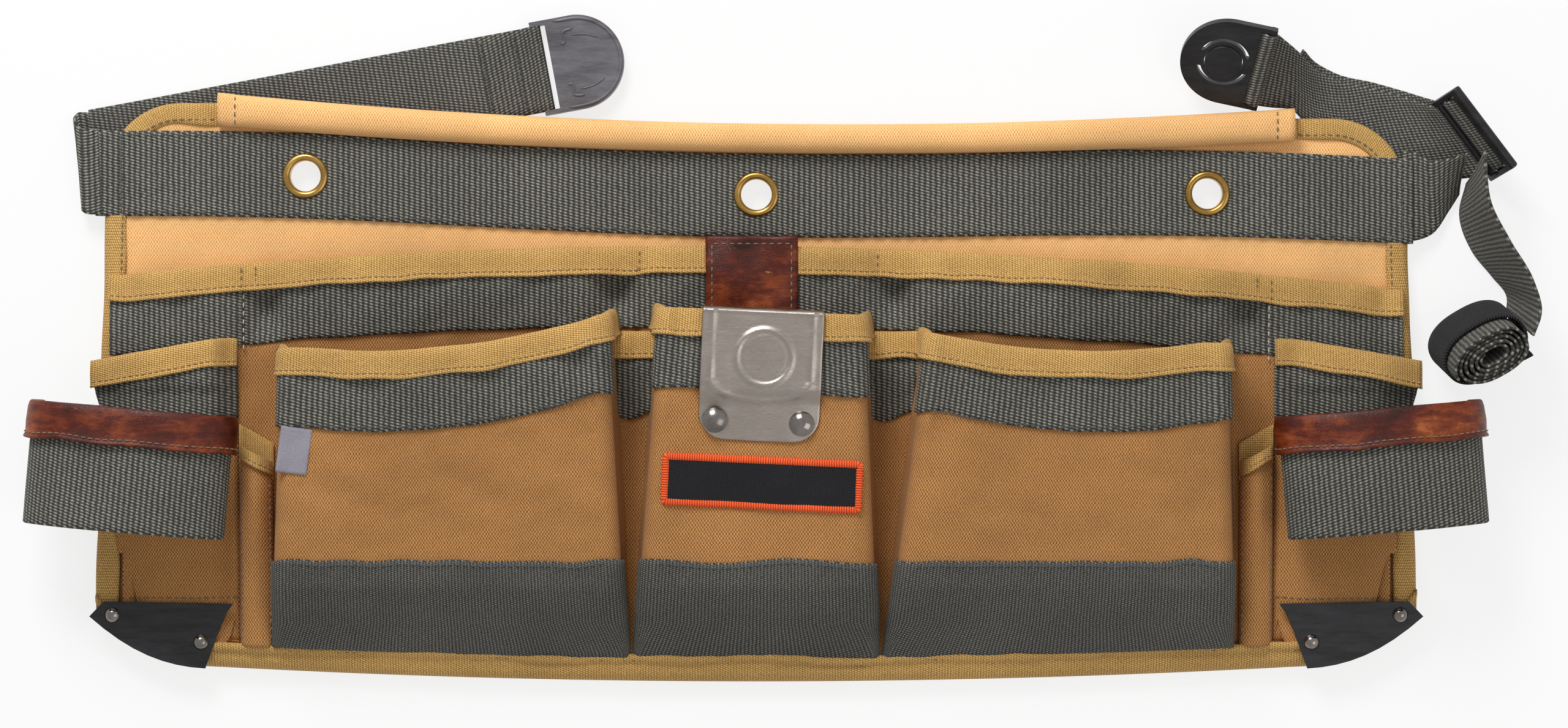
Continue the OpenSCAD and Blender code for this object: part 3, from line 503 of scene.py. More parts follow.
def leather_material():
    n = Nodes("leather", 0.45, Coat_Weight=0.05, Coat_Roughness=0.3, Specular_IOR_Level=0.3)
    v = n.uv()[1]
    clouds = n.noise(38, 6, 0.65)
    streaks = n.noise(70, 5, 0.7, (1, 4, 1))
    level = n.math("ADD", n.math("MULTIPLY", clouds, 0.6), n.math("MULTIPLY", streaks, 0.4))
    base = n.ramp(level, [(0.34, "#280a04"), (0.48, "#561c0b"), (0.58, "#843b17"), (0.7, "#bf7238")])
    ragged = n.math("ADD", v, n.math("MULTIPLY", n.noise(160, 4), 1.4))
    worn = n.math("MULTIPLY", ragged, 0.5, clamp=True)
    colour = n.mix(worn, "#a0643c", base)
    grain = n.add("ShaderNodeTexVoronoi", feature="DISTANCE_TO_EDGE")
    grain.inputs["Scale"].default_value = 1300
    n.join(n.add("ShaderNodeTexCoord").outputs["Object"], grain.inputs["Vector"])
    pores = n.bump(grain.outputs[0], 0.0004, 0.5)
    gloss = n.ramp(n.noise(60, 4), [(0.3, 0.3), (0.7, 0.55)])
    n.finish(colour, n.bump(clouds, 0.0012, 0.5, pores), gloss)


def plastic(name, dark, light, roughness, grain):
    n = Nodes(name, roughness, Specular_IOR_Level=0.45)
    scuffs = n.noise(45, 6, 0.7, (1, 5, 1))
    colour = n.ramp(scuffs, [(0.35, dark), (0.72, light)])
    rough = n.ramp(n.noise(120, 5), [(0.3, roughness - 0.1), (0.7, roughness + 0.12)])
    n.finish(colour, n.bump(n.noise(grain, 2), 0.00012, 0.5), rough)


def metal(name, dark, light, roughness, brushed=False):
    n = Nodes(name, roughness, Metallic=1.0)
    stretch = (1, 22, 1) if brushed else (1, 1, 1)
    lines = n.noise(420 if brushed else 60, 5, 0.7, stretch)
    colour = n.ramp(lines, [(0.3, dark), (0.7, light)])
    rough = n.ramp(n.noise(90, 4, 0.6, stretch), [(0.3, roughness - 0.06), (0.7, roughness + 0.12)])
    n.finish(colour, n.bump(lines, 0.00008 if brushed else 0.00003, 0.5), rough)


def thread_material(name, dark, light):
    n = Nodes(name, 0.7, Sheen_Weight=0.3)
    twist = n.noise(2600, 2)
    n.finish(n.ramp(twist, [(0.3, dark), (0.7, light)]), n.bump(twist, 0.0001, 0.6))


# One canvas, painted as two copies: this darker copy carries painted shade (pockets, upper row, slots), and the
# pale copy below is the same canvas painted lighter as painted light (panel and roll).
woven("canvas", "#784d27", "#d09c63", "#ab7641", 1.3, 2.0, 0.12, 0.22)
woven("canvas_lit_copy", "#d19556", "#ffdb9e", "#f9ba76", 1.3, 2.0, 0.12, 0.18)
ribbed("tape", "#8f6832", "#c69a56", "#ecc783", 1.25, 1.0, 0.4, 0.26)
ribbed("webbing", "#2a2a26", "#54534d", "#a5a398", 2.5, 1.37, 0.274, 0.4)
ribbed("base_band", "#2d2d2a", "#4d4c48", "#8b8982", 1.37, 0.9, 0.33, 0.25)
ribbed("strap", "#2c2c29", "#53514c", "#9b9991", 2.2, 1.3, 0.295, 0.4)
leather_material()
plastic("black_plastic", "#101012", "#2d2d31", 0.36, 2200)
plastic("grey_plastic", "#504e52", "#77757a", 0.36, 900)
metal("brass", "#947032", "#d6af66", 0.28)
metal("steel", "#9f948c", "#c9bfb6", 0.3, brushed=True)
metal("nickel", "#6b655f", "#aaa39d", 0.14)
woven("patch_field", "#0b0b0d", "#2b2b30", "#151518", 0.9, 1.2, 0.3, 0.1, 0.1)
woven("patch_border", "#b8330b", "#ff6a35", "#ec4e1d", 1.1, 40.0, 0.85, 0.5)
woven("tag", "#76727c", "#aaa6b0", "#918d98", 0.6, 0.9, 0.2, 0.08)
woven("hook_loop", "#0c0c0e", "#3a3a3e", "#1b1b1e", 1.1, 1.3, 0.1, 0.5)
thread_material("thread_tan", "#8b6a33", "#c8a468")
thread_material("thread_brown", "#5e4a33", "#8d7658")
thread_material("thread_dark", "#2b2d2f", "#56585a")
thread_material("thread_pale", "#a39a88", "#d6cdb8")
thread_material("thread_white", "#b9b9bd", "#f0f0f2")

# ---- Camera, lights and floor ----
CAMERA_H = 2100.0
VIEW_W = 717.0
VIEW_CENTRE = (12.6, 142.9)
SENSOR_W = 36.0
FLOOR_HALF = 6.0  # metres
FLOOR_GAP = 0.0004  # metres under the model
FLOOR_GLOW = 0.78  # share of plain white in what the camera sees of the floor
WORLD_LIGHT = 0.5


def make_camera():
    data = bpy.data.cameras.new("camera")
    data.sensor_width = SENSOR_W
    data.lens = SENSOR_W * CAMERA_H / VIEW_W
    camera = bpy.data.objects.new("camera", data)
    bpy.context.scene.collection.objects.link(camera)
    camera.location = (VIEW_CENTRE[0] * MM, VIEW_CENTRE[1] * MM, CAMERA_H * MM)
    bpy.context.scene.camera = camera


def make_light(name, place, target, size, power):
    """Square area light; its place, target and size are in metres."""
    data = bpy.data.lights.new(name, "AREA")
    data.shape = "RECTANGLE"
    data.size = data.size_y = size
    data.energy = power
    lamp = bpy.data.objects.new(name, data)
    bpy.context.scene.collection.objects.link(lamp)
    lamp.location = place
    lamp.rotation_mode = "QUATERNION"
    lamp.rotation_quaternion = Vector(np.subtract(target, place)).to_track_quat("-Z", "Y")


def make_stage():
    n = Nodes("floor", 0.9)
    n.shader.inputs["Base Color"].default_value = (0.9, 0.9, 0.9, 1)
    glow = n.add("ShaderNodeEmission")
    path = n.add("ShaderNodeLightPath")
    seen = n.math("MAXIMUM", path.outputs["Is Camera Ray"], path.outputs["Is Glossy Ray"])
    seen = n.math("MAXIMUM", seen, path.outputs["Is Transmission Ray"])
    share = n.math("MULTIPLY", seen, FLOOR_GLOW)
    mixer = n.add("ShaderNodeMixShader")
    n.join(share, mixer.inputs[0])
    n.join(n.shader.outputs[0], mixer.inputs[1])
    n.join(glow.outputs[0], mixer.inputs[2])
    n.join(mixer.outputs[0], n.tree.nodes["Material Output"].inputs["Surface"])
    mesh = bpy.data.meshes.new("floor")
    corners = [(FLOOR_HALF * x, FLOOR_HALF * y, 0) for x, y in ((-1, -1), (1, -1), (1, 1), (-1, 1))]
    mesh.from_pydata(corners, [], [(0, 1, 2, 3)])
    mesh.materials.append(n.material)
    floor = bpy.data.objects.new("floor", mesh)
    floor.location.z = -FLOOR_GAP
    bpy.context.scene.collection.objects.link(floor)
    world = bpy.data.worlds.new("world")
    world.use_nodes = True
    background = world.node_tree.nodes["Background"].inputs
    background[0].default_value = (1, 1, 1, 1)
    background[1].default_value = WORLD_LIGHT
    bpy.context.scene.world = world
    bpy.context.scene.view_settings.view_transform = "Standard"
    make_light("key", (-0.55, 1.75, 1.3), (0, 0.1, 0), 0.8, 33)
    make_light("fill", (1.2, -0.4, 1.6), (0, 0.1, 0), 1.2, 5)


make_camera()
make_stage()

# ---- Layers of the frame that the cloth follows ----
panel = Layer("back_panel")
waist = Layer("waist_webbing")
upper = Layer("upper_front")
upper_mouth = Layer("upper_binding")
hem = Layer("bottom_binding")
PANEL_Z = panel.hi[2]
PANEL_BACK = panel.lo[2]
WEB_TOP = waist.hi[2]
SEAM_Z = hem.hi[2]
TAPE_W = float(upper_mouth.top(0.0) - upper_mouth.bottom(0.0))
seam_points = np.unique(cad_points("upper_seams")[:, 0].round(1))
SEAMS = (seam_points[::2] + seam_points[1::2]) / 2


def between_seams(x):
    """0 on a seam and 1 midway between two of them."""
    k = np.clip(np.searchsorted(SEAMS, x) - 1, 0, len(SEAMS) - 2)
    t = np.clip((x - SEAMS[k]) / (SEAMS[k + 1] - SEAMS[k]), 0, 1)
    return np.sin(math.pi * t) ** 0.35


def side_top(y):
    """Height of the binding tapes along the apron's sides."""
    return SEAM_Z - (SEAM_Z - PANEL_Z - 1.4) * smooth_step((y - 150) / 50)


def panel_bump(x, y):
    """Unevenness that the panel shares with everything sewn flat on it."""
    return 0.8 * ripple(x, y, 120, 3) + 0.35 * ripple(x, y, 40, 4) + 0.25


def upper_z(x, y):
    """Front of the upper row's canvas, which its seams draw down."""
    gap = upper.front(y) - CLOTH_T - PANEL_Z
    slack = between_seams(x)
    z = upper.front(y) - gap * SEAM_DIP * (1 - slack)
    sag = 1.5 * ripple(x, y, 75, 8) * slack * np.clip(gap / 8, 0, 1)
    for seam_x, side in ((SEAMS[1], 1), (SEAMS[2], -1), (SEAMS[3], 1), (SEAMS[4], -1)):
        along = np.exp(-(((x - seam_x - 9 * side) / 7.0) ** 2))
        z = z - 0.8 * gap * along * np.exp(-(((y - upper_mouth.bottom(x) + 9) / 10) ** 2))
        z = z + 0.2 * gap * np.exp(-(((x - seam_x - 27 * side) / 13) ** 2))
    z = z + sag - 0.6 + 0.5 * ripple(x, y, 26, 9) * np.clip(gap / 10, 0, 1)
    end = smooth_step((abs(x) - 278) / 9)
    return z * (1 - end) + (side_top(y) + 1.1) * end


# ---- Panel, roll, waist webbing and the bindings round the apron ----
def points_grid(xs, bottom, top, rows, z):
    """Grid over an area between two edge lines, with heights from z(x, y)."""
    x = np.repeat(xs[:, None], rows, axis=1)
    v = np.linspace(0, 1, rows)[None, :]
    y = bottom(x) + (top(x) - bottom(x)) * v
    return np.stack([x, y, z(x, y)], 2)


def steps(lo, hi, pitch):
    return np.linspace(lo, hi, max(3, int(abs(hi - lo) / pitch) + 1))


def make_panel():
    xs = steps(panel.lo[0] - 1.5, panel.hi[0] + 1.5, 2.4)
    z = lambda x, y: PANEL_Z - 0.3 + panel_bump(x, y) * 0.6 + 0.35 * pucker(x, y - waist.bottom(x), 5)
    under_tape = lambda x: panel.top(x) + np.where(abs(x) > 244, 3.0, 1.4)
    front = points_grid(xs, lambda x: np.minimum(panel.bottom(x), 26), under_tape, 100, z)
    tape_x = cad_points("side_bindings")
    low = abs(tape_x[tape_x[:, 1] < 60, 0]).max()
    high = abs(tape_x[tape_x[:, 1] > tape_x[:, 1].max() - 4, 0]).max()
    half = np.interp(front[:, :, 1], [33, tape_x[:, 1].max()], [low - 4, high - 4])
    front[:, :, 0] *= half / xs.max()
    # The panel takes the canvas copy with painted light: the same canvas, painted lighter.
    sheet("panel_canvas", front, 1.9, "canvas_lit_copy", replaces=["back_panel"], holes=GROMMET_HOLES)


def make_roll():
    """Padded roll in its canvas sleeve, settled by a cloth simulation."""
    lo, hi = box("top_roll")
    roll = Layer("top_roll")
    xs = steps(lo[0], hi[0], 3.0)
    mid_z = (lo[2] + hi[2]) / 2
    half_z = (hi[2] - lo[2]) / 2
    half_y = float(roll.top(0.0) - roll.bottom(0.0)) / 2
    angles = np.linspace(0, 2 * math.pi, 28, endpoint=False)
    rings = np.empty((len(xs), len(angles), 3))
    hem_x = 8.0
    for i, x in enumerate(xs):
        mid_y = float(roll.top(x) + roll.bottom(x)) / 2
        inset = min(x - lo[0], hi[0] - x)
        pinch = 1 - 0.34 * math.exp(-((inset - hem_x) / 2.2) ** 2) - 0.18 * (inset < hem_x)
        wobble = 1 + 0.05 * float(ripple(x, 0.0, 70, 12))
        round_y = np.sign(np.cos(angles)) * np.abs(np.cos(angles)) ** 0.85
        round_z = np.sign(np.sin(angles)) * np.abs(np.sin(angles)) ** 0.85
        rings[i, :, 0] = x
        rings[i, :, 1] = mid_y + round_y * half_y * (0.97 if inset > hem_x else 1.0)
        rings[i, :, 2] = mid_z + round_z * half_z * pinch * wobble * 0.93
    around = np.linspace(0, 42, len(angles))
    # The sleeve takes the canvas copy with painted light: the same canvas, painted lighter.
    obj = tube("top_roll_sleeve", rings, pairs(xs, around), "canvas_lit_copy", flip=True, replaces=["top_roll"])
    settle(obj, 1.2, lambda p: abs(p[0]) > hi[0] - hem_x - 3)
    for side in (-1, 1):
        x = side * (hi[0] - hem_x)
        y0, y1 = float(roll.bottom(x)), float(roll.top(x))
        ys = np.linspace(y0 + 0.6, y1 - 0.6, 24)
        curve = np.sqrt(np.clip(1 - ((ys - (y0 + y1) / 2) / half_y) ** 2, 0, 1))
        stitches("thread_brown", np.stack([ys * 0 + x, ys, mid_z + curve * half_z * 0.66 + 0.25], 1))


def settle(obj, cap, pinned):
    """Runs a short pressure simulation on the mesh and keeps its result, up to cap mm from where it was."""
    rest = np.array([v.co for v in obj.data.vertices])
    bpy.context.view_layer.objects.active = obj
    group = obj.vertex_groups.new(name="pinned")
    held = [i for i, p in enumerate(rest / MM) if pinned(p)]
    group.add(held, 1.0, "REPLACE")
    cloth = obj.modifiers.new("cloth", "CLOTH")
    settings = {"quality": 6, "mass": 0.2, "tension_stiffness": 25, "bending_stiffness": 2,
                "use_pressure": True, "uniform_pressure_force": 4, "vertex_group_mass": "pinned"}
    for key, value in settings.items():
        setattr(cloth.settings, key, value)
    cloth.settings.effector_weights.gravity = 0
    cloth.point_cache.frame_start = 1
    cloth.point_cache.frame_end = SETTLE_FRAMES
    scene = bpy.context.scene
    for step in range(1, SETTLE_FRAMES + 1):
        scene.frame_set(step)
    evaluated = obj.evaluated_get(bpy.context.evaluated_depsgraph_get())
    moved = np.array([v.co for v in evaluated.data.vertices])
    obj.modifiers.remove(cloth)
    scene.frame_set(1)
    shift = moved - rest
    length = np.linalg.norm(shift, axis=1, keepdims=True)
    shift *= np.minimum(1, cap * MM / np.maximum(length, 1e-9))
    obj.data.vertices.foreach_set("co", (rest + shift).astype(np.float32).ravel())
    obj.data.update()


def make_waist_webbing():
    lo, hi = box("waist_webbing")
    xs = steps(lo[0], hi[0], 2.4)
    z = lambda x, y: WEB_TOP + 0.15 + panel_bump(x, y) * smooth_step((x - lo[0]) / 20) * 0.5
    front = points_grid(xs, waist.bottom, waist.top, 20, z)
    sheet("waist_band", front, WEB_T, "webbing", replaces=["waist_webbing"], holes=GROMMET_HOLES)
    for x in (panel.lo[0] + 2, panel.hi[0] + 3):
        ys = np.linspace(float(waist.bottom(x)) + 1, float(waist.top(x)) - 1, 20)
        stitches("thread_dark", on_surface(x, ys, z, 0.2), step=2.6, length=2.0)
    for edge, inset in ((waist.bottom, 1.6), (waist.top, -1.6)):
        xs = steps(panel.lo[0] + 4, panel.hi[0], 8)
        stitches("thread_dark", on_surface(xs, edge(xs) + inset, z, 0.1), step=3.8)


def make_bottom_binding():
    lo, hi = hem.lo, hem.hi
    xs = steps(lo[0] + 2, hi[0] - 2, 2.4)
    rings = []
    for x in xs:
        y0, y1 = float(hem.bottom(x)), float(hem.top(x))
        y1 += 0.8 * float(ripple(x, 0.0, 55, 21)) + 0.35 * float(ripple(x, 0.0, 22, 22))
        ridge = SEAM_Z + 0.5 + 0.4 * float(ripple(x, 0.0, 30, 23))
        section = [(y0 + 2.0, 0.2), (y0 + 0.5, 1.6), (y0, 4.0), (y0 + 0.8, 6.6), (y0 + 2.6, 8.6),
                   (y0 + 5.0, 9.4), (y0 + 7.5, 9.5), (y1 - 4.2, ridge - 1.5), (y1 - 3.3, ridge - 0.2),
                   (y1 - 1.9, ridge + 0.5), (y1 - 0.6, ridge + 0.2), (y1, ridge - 0.9), (y1 - 0.2, 7.0),
                   (y1 - 0.3, 1.0)]
        rings.append([(x, y, z) for y, z in section])
    swept("bottom_tape", rings, xs, "tape", flip=True, replaces=["bottom_binding"])
    xs = steps(lo[0] + 60, hi[0] - 60, 6)
    ys = hem.top(xs) - 2.9 + 0.8 * ripple(xs, xs * 0, 55, 21)
    stitches("thread_brown", np.stack([xs, ys, xs * 0 + SEAM_Z - 0.2], 1), step=3.6)


def make_side_bindings():
    made = cad_points("side_bindings")
    for side in (-1, 1):
        points = made[made[:, 0] * side > 0]
        ys = steps(points[:, 1].min() + 1, points[:, 1].max() + 4, 2.4)
        outer_lo = points[points[:, 1] < 60][:, 0] * side
        outer_hi = points[points[:, 1] > points[:, 1].max() - 4][:, 0] * side
        outer = np.interp(ys, [0, points[:, 1].max()], [outer_lo.max(), outer_hi.max()])
        width = outer_hi.max() - outer_hi.min()
        rings = []
        for y, x1 in zip(ys, outer):
            x1 = x1 + 0.5 * float(ripple(y, 0.0, 60, 30 + side))
            x0 = x1 - width - float(smooth_step((90 - y) / 50)) + 0.5 * float(ripple(y, 0.0, 24, 33 + side))
            top = float(side_top(y))
            section = [(x1 - 1.5, 0.4), (x1 - 0.2, 1.8), (x1, top - 3.5), (x1 - 1.0, top - 1.2),
                       (x1 - 3.0, top - 0.2), (x0 + 3.5, top), (x0 + 1.2, top + 0.1), (x0 + 0.1, top - 0.8),
                       (x0, top - 2.2), (x0 + 0.2, 1.5), (x0 + 1.0, 0.4)]
            rings.append([(side * x, y, z) for x, z in section])
        swept(side_name(side) + "_side_tape", rings, ys, "tape", flip=side > 0,
              replaces=shared(side, "side_bindings"))
        high = ys > 160
        path = np.stack([side * (outer[high] - width + 1.6), ys[high], side_top(ys[high]) + 0.25], 1)
        stitches("thread_brown", path)


def make_corner_bindings():
    """Tape that follows the apron's rounded top corners."""
    for side in (-1, 1):
        points = cad_points("corner_bindings")
        points = points[points[:, 0] * side > 0]
        outer_x, outer_y = (points[:, 0] * side).max(), points[:, 1].max()
        start_x = (points[:, 0] * side).min()
        radius, width = 34.0, 10.0
        path = [(outer_x, y) for y in np.linspace(points[:, 1].min(), outer_y - radius, 8)[:-1]]
        path += [(outer_x - radius + radius * math.cos(a), outer_y - radius + radius * math.sin(a))
                 for a in np.linspace(0, math.pi / 2, 24)]
        path += [(x, outer_y) for x in np.linspace(outer_x - radius, start_x - 2, 8)[1:]]
        path = resample(np.array([(x, y, 0.0) for x, y in path]), 60)
        along = np.gradient(path, axis=0)
        along /= np.linalg.norm(along, axis=1, keepdims=True)
        inward = np.cross(UP, along)
        s = arc_length(path)
        rings = []
        for k, p in enumerate(path):
            w = width + 0.7 * float(ripple(s[k], 0.0, 30, 41 + side))
            top = PANEL_Z + 0.9 + 0.3 * float(ripple(s[k], 0.0, 26, 43))
            section = [(0.8, PANEL_BACK + 0.2), (0.0, (PANEL_BACK + top) / 2), (0.8, top - 0.5), (2.5, top),
                       (w - 2.0, top + 0.1), (w - 0.6, top - 0.1), (w, top - 0.8),
                       (w - 0.4, PANEL_BACK + 0.3)]
            rings.append([(p + inward[k] * d + UP * z) * (side, 1, 1) for d, z in section])
        swept(side_name(side) + "_corner_tape", rings, s, "tape", flip=side < 0,
              replaces=shared(side, "corner_bindings"))
        row = path + inward * (width - 2.4) + UP * (PANEL_Z + 1.15)
        row[:, 0] *= side
        stitches("thread_brown", row)


make_panel()
make_roll()
make_waist_webbing()
make_bottom_binding()
make_side_bindings()
make_corner_bindings()


# ---- Mouth tapes, bands and the upper row ----
def fold_over(name, ribs, width, gap, material, replaces=(), seed=0):
    """Tape folded over a cloth edge. ribs holds, for each place along it, the edge point, the way down
    the cloth's face and the way out of it."""
    rings, face_edge = [], []
    s = arc_length(np.array([r[0] for r in ribs]))
    half = gap / 2
    back_w = width * 0.9
    for k, (edge, down, out) in enumerate(ribs):
        w = width + 0.45 * float(ripple(s[k], 0.0, 26, seed + 1))
        puff = half + 0.25 + 0.25 * float(ripple(s[k], 0.0, 18, seed + 2))
        # Distances down the cloth and out of it: the front, the fold, the back and the inside.
        section = [(w - 0.3, 0.1), (w + 0.15, 0.8), (w, 1.6), (w - 0.7, 1.85), (w - 1.3, 1.45),
                   (w - 2.2, 1.05), (w * 0.55, puff - half + 0.9), (3.0, 0.8)]
        section += [(half - half * math.sin(a), -half + (half + 0.3) * math.cos(a))
                    for a in np.linspace(0.35, math.pi - 0.35, 6)]
        section += [(3.0, -gap - 0.3), (back_w * 0.6, -gap - 0.2), (back_w, -gap + 0.1),
                    (back_w - 0.2, -gap + 0.9), (3.5, -gap + 1.1), (3.5, -0.5), (w - 0.4, -0.2)]
        rings.append([edge + down * d + out * o for d, o in section])
        face_edge.append(edge + down * (w - 2.5) + out * 1.25)
    swept(name, rings, s, material, replaces=replaces, flip=True)
    return np.array(face_edge)


def surface_ribs(xs, edge_y, z):
    """Ribs for fold_over along an edge of a face z(x, y) that is seen from above."""
    ribs = []
    for x in xs:
        y = float(edge_y(x))
        point = np.array([x, y, float(z(x, y))])
        below = np.array([x, y - 4, float(z(x, y - 4))])
        down = below - point
        down /= np.linalg.norm(down)
        ribs.append((point, down, np.cross([1.0, 0, 0], -down)))
    return ribs


def divider_xs():
    return [SEAMS[1] - 2.2, SEAMS[1] + 4.2, SEAMS[2] + 1, SEAMS[3] + 1, SEAMS[4] - 4.2, SEAMS[4] + 2.2]


def make_upper_row():
    xs = steps(upper.lo[0], upper.hi[0], 2.4)
    top = lambda x: upper_mouth.top(x) - 3.0
    front = points_grid(xs, lambda x: upper.bottom(np.clip(x, -280, 280)) + 1, top, 60, upper_z)
    sheet("upper_canvas", front, CLOTH_T, "canvas", replaces=["upper_front", "upper_seams"])
    band = Layer("upper_band")
    edge_wave = lambda x: 0.5 * ripple(x, x * 0, 40, 51)
    band_z = lambda x, y: upper_z(x, y) + BAND_LIFT + 0.25 * ripple(x, y, 20, 52)
    xs = steps(upper.lo[0] - 6, upper.hi[0] + 6, 2.2)
    low = lambda x: band.bottom(x) + edge_wave(x)
    front = points_grid(xs, low, lambda x: band.top(x) + 3, 18, band_z)
    sheet("upper_band_webbing", front, WEB_T, "webbing", replaces=["upper_band"])
    tape_z = lambda x, y: upper_z(x, y) + TAPE_LIFT
    ribs = surface_ribs(steps(upper.lo[0] - 7, upper.hi[0] + 7, 2.2), upper_mouth.top, tape_z)
    seam = fold_over("upper_mouth_tape", ribs, TAPE_W, FOLDED_T, "tape", ["upper_binding"], seed=60)
    stitches("thread_tan", seam, **MOUTH_STITCH)
    for x in divider_xs():
        ys = np.linspace(float(upper_mouth.top(x)) - 1.2, float(upper_mouth.bottom(x)) + 0.6, 12)
        stitches("thread_brown", on_surface(x, ys, tape_z, 1.35), step=2.7, length=2.0)
    for x in (divider_xs()[0] + 0.8, divider_xs()[-1] - 0.8):
        ys = np.linspace(float(upper_mouth.bottom(x)) - 0.6, float(band.bottom(x)) - 4, 12)
        stitches("thread_pale", on_surface(x, ys, band_z, 0.15), step=3.4)


make_upper_row()


# ---- Deep pockets: one sheet runs up a gusset, over the front and down the other gusset ----
class Pocket:
    """A deep pocket's outside, as a function of the place around its section and of Y."""

    def __init__(self, name, seed):
        self.name = name
        self.seed = seed
        self.front = Layer(name + "_front")
        self.band = Layer(name + "_band")
        self.tape = Layer(name + "_binding")
        self.base = Layer(name + "_base")
        self.base_x = (self.front.lo[0], self.front.hi[0])
        self.mouth_x = (self.tape.lo[0], self.tape.hi[0])
        self.base_y, self.mouth_y = self.front.lo[1], self.tape.top(np.mean(self.mouth_x))
        across = int((self.mouth_x[1] - self.mouth_x[0]) / 2.2)
        self.columns = [("left", t) for t in np.linspace(0, 1, 12)[:-1]]
        self.columns += [("left_arc", t) for t in np.linspace(0, 1, 8)[:-1]]
        self.columns += [("face", t) for t in np.linspace(0, 1, across)]
        self.columns += [("right_arc", t) for t in np.linspace(1, 0, 8)[1:]]
        self.columns += [("right", t) for t in np.linspace(1, 0, 12)[1:]]
        self.around = arc_length(np.array([self.place(c, self.mouth_y - 40) for c in self.columns]))

    def edge_x(self, y, side):
        lift = (y - self.base_y) / (self.mouth_y - self.base_y)
        return self.base_x[side] + (self.mouth_x[side] - self.base_x[side]) * lift

    def top_z(self, x, y):
        """Height of the front, with the slack and the creases of filled canvas."""
        mid = sum(self.mouth_x) / 2
        half = (self.mouth_x[1] - self.mouth_x[0]) / 2
        across = np.clip((x - mid) / half, -1, 1)
        up = smooth_step((y - 25) / 60)
        slack = (1 - across**2) * up
        z = self.front.front(y) - 0.4 + 1.2 * slack * ripple(x, y, 85, self.seed)
        z = z + 0.5 * up * ripple(x, y, 34, self.seed + 1) + 0.22 * ripple(x, y, 15, self.seed + 2)
        near = smooth_step((y - self.mouth_y + 70) / 60)
        dents = np.exp(-(((abs(across) - 0.82) / 0.1) ** 2)) * near
        return z - 1.6 * slack * near - 1.3 * dents

    def place(self, column, y, out=0.0):
        """Point of a column (a part of the section, and how far along it) at a given Y."""
        kind, t = column
        side = 0 if kind.startswith("left") else 1
        x0, x1 = self.edge_x(y, 0), self.edge_x(y, 1)
        edge = (x0, x1)[side]
        inward = (1, -1)[side]
        top = self.top_z(edge, y)
        floor = float(upper_z(edge, y)) + 0.3
        r = min(CORNER_R, 0.5 * max(top - floor, 0.5))
        lean = 3.0 * (1 - t) ** 2 - 1.6 * math.sin(math.pi * t)
        if kind in ("left", "right"):
            return np.array([edge - inward * (lean + out), y, floor + (top - r - floor) * t])
        if kind == "face":
            x = x0 + r + (x1 - x0 - 2 * r) * t
            return np.array([x, y, self.top_z(x, y) + out])
        a = t * math.pi / 2
        x = edge + inward * (r - (r + out) * math.cos(a))
        return np.array([x, y, top - r + (r + out) * math.sin(a)])

    def rise(self, column):
        """How much higher the cloth is sewn where a gusset meets the apron."""
        kind, t = column
        return 2.5 * (1 - t) ** 1.5 if kind in ("left", "right") else 0.0

    def line(self, edge, column, y_guess):
        x = self.place(column, y_guess)[0]
        return float(edge(x)) + self.rise(column)

    def cloth(self, name, low, high, rows, out, thick, material, replaces, skip=0):
        """Sheet round the section between two edge lines; skip leaves out columns at either end."""
        grid, uv = [], []
        for k in range(skip, len(self.columns) - skip):
            c = self.columns[k]
            y0 = self.line(low, c, self.base_y + 20)
            y1 = self.line(high, c, self.mouth_y)
            ys = np.linspace(y0, y1, rows)
            grid.append([self.place(c, y, out) for y in ys])
            uv.append([(self.around[k], y) for y in ys])
        sheet(self.name + name, np.array(grid), thick, material, np.array(uv), replaces=replaces)

    def row(self, edge, drop):
        """Points along the front of a band, at a distance below an edge line."""
        return np.array([self.place(c, self.line(edge, c, self.mouth_y) - drop, WEB_T + 0.3)
                         for c in self.columns if c[0] == "face"])

    def build(self):
        name = self.name
        wave = lambda x: 0.5 * ripple(x, x * 0, 30, self.seed + 4)
        body_low = lambda x: hem.top(x) - 1.6
        base_high = lambda x: x * 0 + self.base.hi[1] + 2 * wave(x)
        self.cloth("_canvas", body_low, lambda x: self.tape.top(x) - UNDER_TAPE, 70, 0.0, CLOTH_T, "canvas",
                   [name + "_front", name + "_gussets"])
        self.cloth("_mouth_band", lambda x: self.band.bottom(x) + wave(x),
                   lambda x: self.band.top(x) + BAND_HIDDEN, 14, BAND_LIFT, WEB_T, "webbing",
                   [name + "_band"], skip=6)
        self.cloth("_base_band", body_low, base_high, 24, BAND_LIFT, WEB_T, "base_band", [name + "_base"],
                   skip=6)
        ribs = []
        for c in self.columns[1:-1]:
            y = self.line(self.tape.top, c, self.mouth_y)
            edge = self.place(c, y, TAPE_LIFT)
            down = self.place(c, y - 4, TAPE_LIFT) - edge
            down /= np.linalg.norm(down)
            out = self.place(c, y, WEB_T + 2.2) - edge
            if c[0] in ("left", "right"):
                out = np.array([-1.0 if c[0] == "left" else 1.0, 0, 0])
            out -= down * np.dot(out, down)
            ribs.append((edge, down, out / np.linalg.norm(out)))
        seam = fold_over(name + "_mouth_tape", ribs, TAPE_W, FOLDED_T, "tape", [name + "_binding"],
                         seed=self.seed + 9)
        stitches("thread_tan", seam[8:-8], **MOUTH_STITCH)
        stitches("thread_dark", self.row(self.band.bottom, -1.6), length=2.3)
        stitches("thread_dark", self.row(base_high, 1.6), length=2.3)


